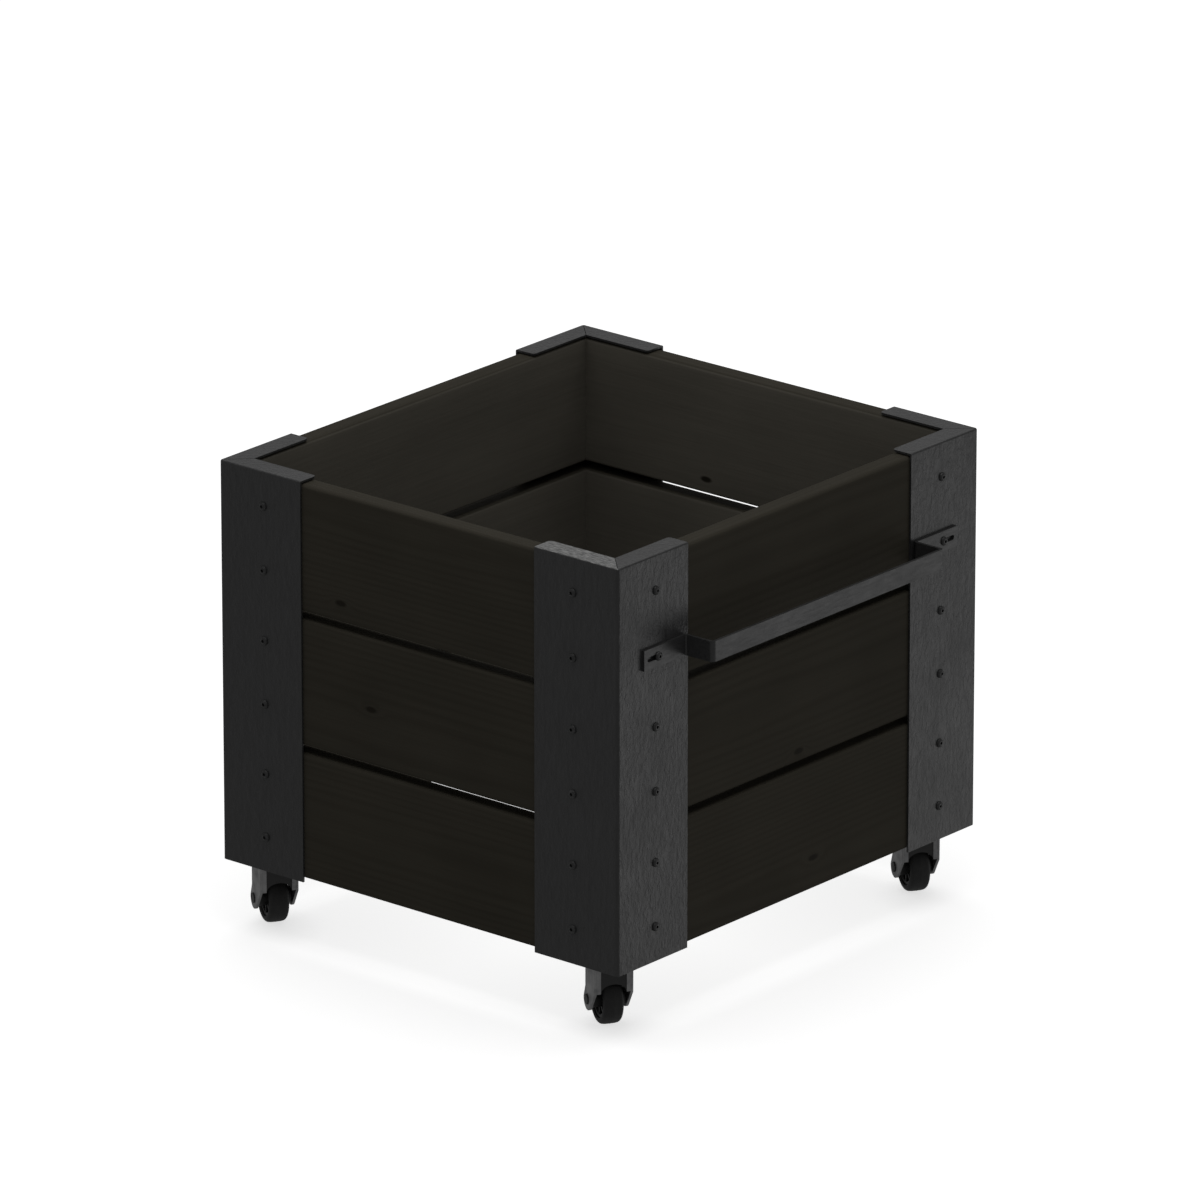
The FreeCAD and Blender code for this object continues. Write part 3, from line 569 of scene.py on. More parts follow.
TIMBER = StainedTimber("stained_timber", roughness=0.70, specular=0.04)
POST_COAT = PowderCoat("post_powder_coat", roughness=0.38, specular=0.40)
HANDLE_COAT = PowderCoat(
    "handle_powder_coat", roughness=0.38, specular=0.40, streaks=(420.0, 60.0, 420.0), wrinkle_depth=0.00008
)
ZINC = ZincPlate("dull_zinc", roughness=0.42, metallic=0.75)
BRIGHT_PIN = ZincPlate("bright_pins", roughness=0.33, metallic=0.85)
DARK_PIN = ZincPlate(
    "dark_pins", roughness=0.45, metallic=0.75, colour=(0.06, 0.06, 0.06), dull=(0.03, 0.03, 0.03)
)
BLACK_SCREW = BlackedSteel("black_screws", roughness=0.40)
RUBBER = Moulded("black_rubber", roughness=0.62, specular=0.4)
NYLON = Moulded("black_nylon", roughness=0.45, specular=0.5, dust_share=0.15, skin_scale=700.0)


# ------------------------------------------------------------------------------ mesh pieces


def finish_piece(
    mesh: bpy.types.Mesh, name: str, body: str, slot: Slot, stands_for: Iterable[str] = ()
) -> bpy.types.Object:
    """Make a mesh that is already in place a piece of the object.

    Args:
        mesh: The mesh, in place.
        name: The piece's name.
        body: The CAD body that it rides on.
        slot: The record's material slot; not used.
        stands_for: The CAD nodes that it replaces.

    Returns:
        The piece.
    """
    piece = bpy.data.objects.new(name, mesh)
    bpy.context.scene.collection.objects.link(piece)
    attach(piece, body)
    nodes = tuple(stands_for)
    if nodes:
        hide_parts(*nodes)
    mesh.calc_loop_triangles()
    log.info("%-34s %6d triangles", name, len(mesh.loop_triangles))
    return piece


def body_of_node(node: str) -> str:
    """Find the CAD body that a node belongs to.

    Args:
        node: The node's name.

    Returns:
        The body's name.
    """
    bodies = frame["record"]["behaviour"]["bodies"]
    return next(body for body, members in bodies.items() if node in members)


def dress_node(node: str, finish: Finish, slot: Slot) -> None:
    """Keep a CAD node as it is, and give it a finish.

    Args:
        node: The node's name.
        finish: Its finish.
        slot: The record's material slot; not used.
    """
    kept = frame["nodes"][node]
    kept.data.materials.clear()
    kept.data.materials.append(finish.material())
    log.info("%-34s kept from the CAD model", node)


def sockets(floats: Sequence[str], **others: str) -> dict[str, str]:
    """The kinds of a tree's inputs, by name: Float for most, and the kind given for the others.

    Args:
        floats: The names of the Float inputs.
        others: The kinds of the rest, with spaces in their names written as underscores.

    Returns:
        Blender's name for each input's type.
    """
    kinds = {label: "NodeSocketFloat" for label in floats}
    kinds.update({label.replace("_", " "): "NodeSocket" + kind for label, kind in others.items()})
    return kinds


@dataclass
class GeometryRule:
    """A Geometry Nodes tree with named inputs, turned into plain meshes."""

    name: str
    inputs: dict[str, str]
    build: Callable[[Wiring, dict[str, Socket]], Socket]
    tree: bpy.types.NodeTree = field(init=False)

    def __post_init__(self) -> None:
        """Build the tree: its inputs, what the rule makes, Realize Instances and Set Material."""
        self.tree = bpy.data.node_groups.new(self.name, "GeometryNodeTree")
        face = self.tree.interface
        face.new_socket("Geometry", in_out="INPUT", socket_type="NodeSocketGeometry")
        for label, kind in self.inputs.items():
            face.new_socket(label, in_out="INPUT", socket_type=kind)
        face.new_socket("Finish", in_out="INPUT", socket_type="NodeSocketMaterial")
        face.new_socket("Geometry", in_out="OUTPUT", socket_type="NodeSocketGeometry")
        wiring = Wiring(self.tree)
        entry = wiring.node("NodeGroupInput")
        ends = {socket.name: socket for socket in entry.outputs if socket.name}
        realize = wiring.wired("GeometryNodeRealizeInstances", {0: self.build(wiring, ends)})
        inputs = {"Geometry": realize.outputs[0], "Material": ends["Finish"]}
        paint = wiring.wired("GeometryNodeSetMaterial", inputs)
        wiring.wired("NodeGroupOutput", {0: paint.outputs[0]})

    def mesh(self, start: bpy.types.Mesh, finish: Finish, **values: object) -> bpy.types.Mesh:
        """Run the rule once.

        Args:
            start: The mesh that the tree starts from.
            finish: The finish of what it makes.
            values: The named inputs, with spaces written as underscores.

        Returns:
            The plain mesh that the tree makes.
        """
        carrier = bpy.data.objects.new(self.name + "_carrier", start)
        bpy.context.scene.collection.objects.link(carrier)
        modifier = carrier.modifiers.new(self.name, "NODES")
        modifier.node_group = self.tree
        settings = {label.replace("_", " ").title(): value for label, value in values.items()}
        settings["Finish"] = finish.material()
        for item in self.tree.interface.items_tree:
            if item.item_type == "SOCKET" and item.in_out == "INPUT" and item.name in settings:
                modifier[item.identifier] = settings[item.name]
        bpy.context.view_layer.update()
        graph = bpy.context.evaluated_depsgraph_get()
        made = bpy.data.meshes.new_from_object(carrier.evaluated_get(graph))
        carrier.modifiers.remove(modifier)
        bpy.data.objects.remove(carrier)
        return made


def point_mesh(points: Sequence[Vector], directions: Sequence[Vector]) -> bpy.types.Mesh:
    """Make a mesh of loose points, each with its direction in the attribute "outward".

    Args:
        points: Where the points lie.
        directions: The way that each faces.

    Returns:
        The mesh.
    """
    mesh = bpy.data.meshes.new("points")
    mesh.from_pydata([tuple(point) for point in points], [], [])
    outward = mesh.attributes.new("outward", "FLOAT_VECTOR", "POINT")
    outward.data.foreach_set("vector", [x for direction in directions for x in direction])
    return mesh


# ---------------------------------------------------------------------------------- boards


EDGE_STEPS = 5
SIDE_CUTS = 3
STATIONS = 110
INSIDE_FROM, INSIDE_FULL = 0.44, 0.49
BOW_GRAIN = (7.0, 26.0, 26.0)
RIDGE_GRAIN = (18.0, 240.0, 240.0)
RIDGE_SHARE = 0.45
FLAT = 0.9


def board_rule(wiring: Wiring, ends: dict[str, Socket]) -> Socket:
    """A board along X: a rounded section drawn along a line, its faces a little uneven.

    Args:
        wiring: The tree's wiring.
        ends: The tree's named inputs.

    Returns:
        The board's geometry.
    """
    section = wiring.wired(
        "GeometryNodeCurvePrimitiveQuadrilateral", {"Width": ends["Thickness"], "Height": ends["Height"]}
    )
    rounded = wiring.wired("GeometryNodeFilletCurve", {
        "Curve": section.outputs[0],
        "Count": EDGE_STEPS,
        "Radius": ends["Edge Round"],
    }, mode="POLY")
    cut = wiring.wired("GeometryNodeSubdivideCurve", {"Curve": rounded.outputs[0], "Cuts": SIDE_CUTS})
    half = wiring.math("MULTIPLY", ends["Length"], 0.5)
    start, end = (wiring.xyz(wiring.math("MULTIPLY", half, way)) for way in (-1.0, 1.0))
    line = wiring.wired("GeometryNodeCurvePrimitiveLine", {"Start": start, "End": end})
    stations = wiring.wired("GeometryNodeResampleCurve", {"Curve": line.outputs[0], "Count": STATIONS})
    swept = wiring.wired("GeometryNodeCurveToMesh", {
        "Curve": stations.outputs[0],
        "Profile Curve": cut.outputs[0],
        "Fill Caps": True,
    })

    place = wiring.node("GeometryNodeInputPosition").outputs[0]
    in_log = wiring.vector_math("ADD", place, ends["Place In Log"])
    stored = wiring.wired("GeometryNodeStoreNamedAttribute", {
        "Geometry": swept.outputs[0],
        "Name": "timber",
        "Value": in_log,
    }, data_type="FLOAT_VECTOR", domain="POINT")
    inside_from = wiring.math("MULTIPLY", ends["Thickness"], INSIDE_FROM)
    inside_full = wiring.math("MULTIPLY", ends["Thickness"], INSIDE_FULL)
    inside = wiring.spread(wiring.parts(place)[1], inside_from, inside_full, 0.0, 1.0)
    marked = wiring.wired("GeometryNodeStoreNamedAttribute", {
        "Geometry": stored.outputs[0],
        "Name": "inside",
    }, data_type="FLOAT", domain="POINT")
    wiring.feed(next(s for s in marked.inputs if s.type == "VALUE" and s.enabled), inside)

    bow = wiring.noise(wiring.vector_math("MULTIPLY", in_log, BOW_GRAIN), 1.0, 2.0)
    ridge = wiring.noise(wiring.vector_math("MULTIPLY", in_log, RIDGE_GRAIN), 1.0, 2.0)
    relief = wiring.math("MULTIPLY_ADD", ridge, RIDGE_SHARE, wiring.math("MULTIPLY", bow, 1.0 - RIDGE_SHARE))
    depth = wiring.math("MULTIPLY", relief, wiring.math("MULTIPLY", ends["Relief"], -1.0))
    normal = wiring.node("GeometryNodeInputNormal").outputs[0]
    shift = wiring.wired("ShaderNodeVectorMath", {0: normal, "Scale": depth}, operation="SCALE")
    uneven = wiring.wired(
        "GeometryNodeSetPosition", {"Geometry": marked.outputs[0], "Offset": shift.outputs[0]}
    )
    along = wiring.math("ABSOLUTE", wiring.parts(normal)[0])
    is_side = wiring.wired("FunctionNodeCompare", {0: along, 1: FLAT}, operation="LESS_THAN")
    inputs = {"Geometry": uneven.outputs[0], "Selection": is_side.outputs[0]}
    return wiring.wired("GeometryNodeSetShadeSmooth", inputs, domain="FACE").outputs[0]


@dataclass
class BoardWalls:
    """The twelve boards, three to a side, each sawn from its own place in a log."""

    edge_round: float = 0.0035
    relief: float = 0.00022
    stand_off: float = 0.00005
    sides: tuple[str, ...] = ("front", "right", "back", "left")
    levels: tuple[str, ...] = ("bottom", "middle", "top")
    log_spacing: float = 1.37
    off_heart: float = 0.055
    heart_swing: float = 0.022
    across_swing: float = 0.045

    def build(self) -> None:
        """Build every board in its CAD board's box."""
        floats = ("Length", "Height", "Thickness", "Edge Round", "Relief")
        rule = GeometryRule("board", sockets(floats, Place_In_Log="Vector"), board_rule)
        for turn, side in enumerate(self.sides):
            for level, name in enumerate(self.levels):
                self._board(rule, "%s_board_%s" % (side, name), turn, level)

    def _board(self, rule: GeometryRule, node: str, turn: int, level: int) -> None:
        """Build one board.

        Args:
            rule: The tree that makes a board.
            node: The CAD board that it stands for.
            turn: The number of quarter turns about Z that its side is at.
            level: Its number from the bottom.
        """
        low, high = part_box(node)
        extent = high - low
        length, thickness = max(extent.x, extent.y), min(extent.x, extent.y)
        number = turn * len(self.levels) + level
        mesh = rule.mesh(
            bpy.data.meshes.new("start"), TIMBER,
            length=length - 2.0 * self.stand_off,
            height=extent.z - 2.0 * self.stand_off,
            thickness=thickness - 2.0 * self.stand_off,
            edge_round=self.edge_round,
            relief=self.relief,
            place_in_log=self._place_in_log(number),
        )
        turned = Matrix.Rotation(math.radians(90.0 * turn), 4, "Z")
        mesh.transform(Matrix.Translation((low + high) / 2.0) @ turned)
        finish_piece(mesh, "timber_" + node, body_of_node(node), Slot.TIMBER, [node])

    def _place_in_log(self, number: int) -> Vector:
        """Choose where a board's middle lies in its log.

        Args:
            number: The board's number.

        Returns:
            The place along the log, and off its heart both ways.
        """
        through = self.off_heart + self.heart_swing * math.sin(1.7 * number)
        across = self.across_swing * math.sin(2.4 * number)
        return Vector((self.log_spacing * (number + 1), through, across))


# ---------------------------------------------------------------------------------- screws


HEAD_SIDES = 36
SHANK_SIDES = 20
SHANK_TAPER = 0.7
HEAD_FOOT = 0.25
DOME_STEPS = ((0.30, 0.94), (0.27, 0.82), (0.18, 0.66))
SIXTH_TURN = math.radians(60.0)


def _head(wiring: Wiring, ends: dict[str, Socket]) -> Socket:
    """A button head: a low cylinder, its top raised and drawn in by steps.

    Args:
        wiring: The tree's wiring.
        ends: The tree's named inputs.

    Returns:
        The head's geometry.
    """
    head = wiring.wired("GeometryNodeMeshCylinder", {
        "Vertices": HEAD_SIDES,
        "Side Segments": 1,
        "Fill Segments": 1,
        "Radius": ends["Head Radius"],
        "Depth": wiring.math("MULTIPLY", ends["Head Height"], HEAD_FOOT),
    }, fill_type="NGON")
    lift = wiring.xyz(z=wiring.math("MULTIPLY", ends["Head Height"], 0.5 * HEAD_FOOT))
    dome = wiring.moved(head.outputs["Mesh"], lift)
    for rise, draw_in in DOME_STEPS:
        up = wiring.parts(wiring.node("GeometryNodeInputNormal").outputs[0])[2]
        on_top = wiring.wired("FunctionNodeCompare", {0: up, 1: FLAT}, operation="GREATER_THAN")
        pushed = wiring.wired("GeometryNodeExtrudeMesh", {
            "Mesh": dome,
            "Selection": on_top.outputs[0],
            "Offset Scale": wiring.math("MULTIPLY", ends["Head Height"], rise),
        }, mode="FACES")
        dome = wiring.wired("GeometryNodeScaleElements", {
            "Geometry": pushed.outputs["Mesh"],
            "Selection": pushed.outputs["Top"],
            "Scale": draw_in,
        }, domain="FACE").outputs[0]
    return dome


def screw_rule(wiring: Wiring, ends: dict[str, Socket]) -> Socket:
    """Button-head socket screws, one at each point, facing the way that "outward" says.

    Args:
        wiring: The tree's wiring.
        ends: The tree's named inputs.

    Returns:
        The screws, as instances.
    """
    key = wiring.wired("GeometryNodeMeshCylinder", {
        "Vertices": 6,
        "Radius": wiring.math("MULTIPLY", ends["Socket Across"], 1.0 / math.sqrt(3.0)),
        "Depth": wiring.math("MULTIPLY", ends["Socket Depth"], 2.0),
    }, fill_type="NGON")
    cut = wiring.wired("GeometryNodeMeshBoolean", {
        "Mesh 1": _head(wiring, ends),
        "Mesh 2": wiring.moved(key.outputs["Mesh"], wiring.xyz(z=ends["Head Height"])),
    }, operation="DIFFERENCE")
    shank = wiring.wired("GeometryNodeMeshCone", {
        "Vertices": SHANK_SIDES,
        "Side Segments": 1,
        "Radius Top": ends["Shank Radius"],
        "Radius Bottom": wiring.math("MULTIPLY", ends["Shank Radius"], SHANK_TAPER),
        "Depth": ends["Shank Length"],
    }, fill_type="NGON")
    drop = wiring.xyz(z=wiring.math("MULTIPLY", ends["Shank Length"], -1.0))
    joined = wiring.wired("GeometryNodeJoinGeometry", {0: cut.outputs["Mesh"]})
    wiring.feed(joined.inputs[0], wiring.moved(shank.outputs["Mesh"], drop))

    outward = wiring.wired("GeometryNodeInputNamedAttribute", {"Name": "outward"}, data_type="FLOAT_VECTOR")
    facing = wiring.wired(
        "FunctionNodeAlignRotationToVector", {"Vector": outward.outputs["Attribute"]}, axis="Z"
    )
    chance = wiring.wired("FunctionNodeRandomValue", {"Seed": ends["Seed"]}, data_type="FLOAT")
    for socket, value in zip((s for s in chance.inputs if s.type == "VALUE"), (0.0, SIXTH_TURN)):
        wiring.feed(socket, value)
    about = wiring.wired("FunctionNodeAxisAngleToRotation", {
        "Axis": (0.0, 0.0, 1.0),
        "Angle": next(s for s in chance.outputs if s.type == "VALUE"),
    })
    turned = wiring.wired(
        "FunctionNodeRotateRotation", {0: facing.outputs[0], 1: about.outputs[0]}, rotation_space="LOCAL"
    )
    return wiring.wired("GeometryNodeInstanceOnPoints", {
        "Points": ends["Geometry"],
        "Instance": joined.outputs[0],
        "Rotation": turned.outputs[0],
    }).outputs[0]


@dataclass
class BoardScrews:
    """The button-head screws that hold the boards and the handle to the posts."""

    head_radius: float = 0.0043
    head_height: float = 0.0024
    socket_across: float = 0.0030
    socket_depth: float = 0.0015
    shank_radius: float = 0.0020
    shank_length: float = 0.0178
    inset: float = 0.054
    spacing: float = 0.063
    handle_sheet: float = 0.003
    corners: dict[str, tuple[int, int]] = field(default_factory=lambda: {
        "front_left": (-1, -1),
        "front_right": (1, -1),
        "back_right": (1, 1),
        "back_left": (-1, 1),
    })

    def build(self) -> None:
        """Build a group of screws for each post, and the two that hold the handle."""
        floats = (
            "Head Radius", "Head Height", "Socket Across", "Socket Depth", "Shank Radius", "Shank Length"
        )
        rule = GeometryRule("button_screws", sockets(floats, Seed="Int"), screw_rule)
        rows = self._rows()
        handle_seats: list[tuple[Vector, Vector]] = []
        for number, (corner, signs) in enumerate(self.corners.items()):
            seats: list[tuple[Vector, Vector]] = []
            for seat, outward, on_handle in self._seats(corner, signs, rows):
                (handle_seats if on_handle else seats).append((seat, outward))
            self._group(rule, "board_screws_" + corner, seats, number)
        self._group(rule, "handle_screws", handle_seats, len(self.corners))

    def _rows(self) -> list[float]:
        """Find the heights of the screws, two for each board.

        Returns:
            The heights, from the bottom.
        """
        heights = []
        for level in ("bottom", "middle", "top"):
            low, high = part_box("front_board_" + level)
            middle = (low.z + high.z) / 2.0
            heights += [middle - self.spacing / 2.0, middle + self.spacing / 2.0]
        return heights

    def _seats(
        self, corner: str, signs: tuple[int, int], rows: Sequence[float]
    ) -> Iterable[tuple[Vector, Vector, bool]]:
        """Find the screws' seats on a post.

        Args:
            corner: The post's corner.
            signs: The way that the corner lies from the middle, along X and along Y.
            rows: The screws' heights.

        Yields:
            Each screw's seat, the way it faces and whether it holds the handle.
        """
        low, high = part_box("corner_post_" + corner)
        outer = Vector((high.x if signs[0] > 0 else low.x, high.y if signs[1] > 0 else low.y, 0.0))
        handle_low, handle_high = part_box("handle_strap")
        for height in rows:
            seat = Vector((outer.x - signs[0] * self.inset, outer.y, height))
            yield seat, Vector((0.0, signs[1], 0.0)), False
            seat = Vector((outer.x, outer.y - signs[1] * self.inset, height))
            on_handle = signs[0] > 0 and handle_low.z < height < handle_high.z
            if on_handle:
                seat.x += self.handle_sheet
            yield seat, Vector((signs[0], 0.0, 0.0)), on_handle

    def _group(self, rule: GeometryRule, node: str, seats: list[tuple[Vector, Vector]], seed: int) -> None:
        """Build a group of screws as one piece.

        Args:
            rule: The tree that makes a screw at each point.
            node: The CAD node that the group stands for.
            seats: Each screw's seat and the way it faces.
            seed: The seed of their turns.
        """
        mesh = rule.mesh(
            point_mesh(*zip(*seats)),
            BLACK_SCREW,
            head_radius=self.head_radius,
            head_height=self.head_height,
            socket_across=self.socket_across,
            socket_depth=self.socket_depth,
            shank_radius=self.shank_radius,
            shank_length=self.shank_length,
            seed=seed,
        )
        finish_piece(mesh, "button_" + node, body_of_node(node), Slot.SCREW, [node])


# --------------------------------------------------------------------------------- castors


WHEEL_AXIS = Vector((0.0, 1.0, 0.0))


def castor_joints(start: str) -> dict[str, dict]:
    """The joints whose names begin with a word, by the castor's corner."""
    return {j["name"].removeprefix(start): j for j in frame["joints"] if j["name"].startswith(start)}


def turn_to_axle(joint: dict) -> Matrix:
    """The turn that takes the Y axis to a joint's axis."""
    return WHEEL_AXIS.rotation_difference(Vector(joint["axis"]).normalized()).to_matrix().to_4x4()


def arc_points(
    centre: tuple[float, float], radius: float, start: float, end: float, steps: int
) -> list[tuple[float, float]]:
    """Find points along an arc.

    Args:
        centre: The arc's centre.
        radius: Its radius.
        start: The angle that it starts at, in degrees.
        end: The angle that it ends at, in degrees.
        steps: How many steps it has.

    Returns:
        The points, from the start.
    """
    angles = [math.radians(start + (end - start) * i / steps) for i in range(steps + 1)]
    return [(centre[0] + radius * math.cos(a), centre[1] + radius * math.sin(a)) for a in angles]


def turned_mesh(outline: Sequence[tuple[float, float]], segments: int) -> bmesh.types.BMesh:
    """Turn a closed outline about the Y axis.

    Args:
        outline: The outline's points, each its radius and its distance along the axis.
        segments: The number of steps round the axis.

    Returns:
        The turned solid, its faces outwards.
    """
    made = bmesh.new()
    rings = []
    for step in range(segments):
        angle = 2.0 * math.pi * step / segments
        rings.append([
            made.verts.new((radius * math.cos(angle), along, radius * math.sin(angle)))
            for radius, along in outline
        ])
    for step, ring in enumerate(rings):
        after = rings[(step + 1) % segments]
        for i in range(len(outline)):
            j = (i + 1) % len(outline)
            made.faces.new((ring[i], ring[j], after[j], after[i]))
    bmesh.ops.recalc_face_normals(made, faces=made.faces)
    for face in made.faces:
        face.smooth = True
    return made


def to_mesh(
    name: str, made: bmesh.types.BMesh, finish: Finish, place: Matrix, crease: float
) -> bpy.types.Mesh:
    """Turn a bmesh into a mesh in place, its edges sharp past an angle.

    Args:
        name: The mesh's name.
        made: The bmesh, which is freed.
        finish: The mesh's finish.
        place: The matrix that takes it to its place.
        crease: The angle between faces, in degrees, past which an edge is sharp.

    Returns:
        The mesh.
    """
    mesh = bpy.data.meshes.new(name)
    for edge in made.edges:
        edge.smooth = not is_sharp(edge, crease)
    made.to_mesh(mesh)
    made.free()
    mesh.materials.append(finish.material())
    mesh.transform(place)
    return mesh


def is_sharp(edge: bmesh.types.BMEdge, crease: float) -> bool:
    """Whether two faces meet at an edge by more than an angle in degrees."""
    return len(edge.link_faces) == 2 and edge.calc_face_angle(0.0) > math.radians(crease)


def rib_rule(wiring: Wiring, ends: dict[str, Socket]) -> Socket:
    """Radial ribs about the Y axis, between a hub and a rim.

    Args:
        wiring: The tree's wiring.
        ends: The tree's named inputs.

    Returns:
        The ribs, as instances.
    """
    reach = wiring.math("SUBTRACT", ends["Outer Radius"], ends["Inner Radius"])
    total = wiring.math("ADD", ends["Outer Radius"], ends["Inner Radius"])
    bar = wiring.wired("GeometryNodeMeshCube", {"Size": wiring.xyz(reach, ends["Width"], ends["Thickness"])})
    rib = wiring.moved(bar.outputs["Mesh"], wiring.xyz(wiring.math("MULTIPLY", total, 0.5)))
    points = wiring.wired("GeometryNodePoints", {"Count": ends["Count"]})
    share = wiring.math("DIVIDE", wiring.node("GeometryNodeInputIndex").outputs[0], ends["Count"])
    about = wiring.wired("FunctionNodeAxisAngleToRotation", {
        "Axis": tuple(WHEEL_AXIS),
        "Angle": wiring.math("MULTIPLY", share, 2.0 * math.pi),
    })
    return wiring.wired("GeometryNodeInstanceOnPoints", {
        "Points": points.outputs[0],
        "Instance": rib,
        "Rotation": about.outputs[0],
    }).outputs[0]


@dataclass
class CastorWheels:
    """The four wheels: a moulded core with ribs, and a solid tyre with a mould line."""

    wheel_radius: float = 0.025
    wheel_width: float = 0.020
    shoulder: float = 0.004
    crown: float = 0.0004
    mould_line: float = 0.00012
    mould_half: float = 0.0006
    arc_steps: int = 9
    rim_radius: float = 0.01845
    tyre_bore: float = 0.0185
    rim_width: float = 0.016
    rim_wall: float = 0.003
    web_width: float = 0.006
    hub_radius: float = 0.0085
    hub_length: float = 0.032
    bore: float = 0.00305
    edge: float = 0.0005
    ribs: int = 8
    rib_thickness: float = 0.0018
    rib_width: float = 0.0145
    segments: int = 96
    tyre_crease: float = 60.0
    core_crease: float = 32.0

    def build(self) -> None:
        """Build each castor's wheel at its own axle."""
        floats = ("Inner Radius", "Outer Radius", "Width", "Thickness")
        rule = GeometryRule("wheel_ribs", sockets(floats, Count="Int"), rib_rule)
        for corner, joint in castor_joints("castor_roll_").items():
            place = Matrix.Translation(Vector(joint["pos_m"])) @ turn_to_axle(joint)
            tyre = to_mesh("tyre", self._tyre(), RUBBER, place, self.tyre_crease)
            finish_piece(tyre, "rolled_tyre_" + corner, joint["child"], Slot.TYRE, ["castor_tyre_" + corner])
            core = to_mesh("core", self._core(rule), NYLON, place, self.core_crease)
            stands_for = ["castor_wheel_core_" + corner]
            finish_piece(core, "moulded_core_" + corner, joint["child"], Slot.CORE, stands_for)

    def _tyre(self) -> bmesh.types.BMesh:
        """Turn the tyre: a crowned tread with a fine mould line, round shoulders and stepped sides.

        Returns:
            The tyre.
        """
        half = self.wheel_width / 2.0
        line = self.wheel_radius - self.mould_line
        tread = self.wheel_radius - 0.4 * self.crown
        middle = self.wheel_radius - self.shoulder - self.crown
        steps = self.arc_steps
        outline = arc_points((middle, half - self.shoulder), self.shoulder, 90.0, 0.0, steps)
        outline += [
            (tread, 0.45 * half),
            (line, self.mould_half),
            (self.wheel_radius, 0.0),
            (line, -self.mould_half),
            (tread, -0.45 * half),
        ]
        outline += arc_points((middle, self.shoulder - half), self.shoulder, 0.0, -90.0, steps)
        inner = [
            (self.tyre_bore + 0.0014, half),
            (self.tyre_bore + 0.0010, half - 0.0004),
            (self.tyre_bore, half - 0.0006),
        ]
        outline += [(radius, -along) for radius, along in inner]
        outline += list(reversed(inner))
        return turned_mesh(outline, self.segments)

    def _core(self, rule: GeometryRule) -> bmesh.types.BMesh:
        """Turn the core's hub, web and rim as one, and add ribs from the hub to the rim.

        Args:
            rule: The tree that makes the ribs.

        Returns:
            The core.
        """
        hub_half = self.hub_length / 2.0
        rim_half = self.rim_width / 2.0
        web = self.web_width / 2.0
        inner = self.rim_radius - self.rim_wall
        ease = self.edge
        side = [
            (self.bore, hub_half),
            (self.hub_radius - ease, hub_half),
            (self.hub_radius, hub_half - ease),
            (self.hub_radius, web + ease),
            (self.hub_radius + ease, web),
            (inner - ease, web),
            (inner, web + ease),
            (inner, rim_half - ease),
            (inner + ease, rim_half),
            (self.rim_radius - ease, rim_half),
            (self.rim_radius, rim_half - ease),
        ]
        outline = side + [(radius, -along) for radius, along in reversed(side)]
        made = turned_mesh(outline, self.segments)
        ribs = rule.mesh(
            bpy.data.meshes.new("start"), NYLON,
            inner_radius=self.hub_radius - ease,
            outer_radius=inner + ease,
            width=self.rib_width,
            thickness=self.rib_thickness,
            count=self.ribs,
        )
        made.from_mesh(ribs)
        return made


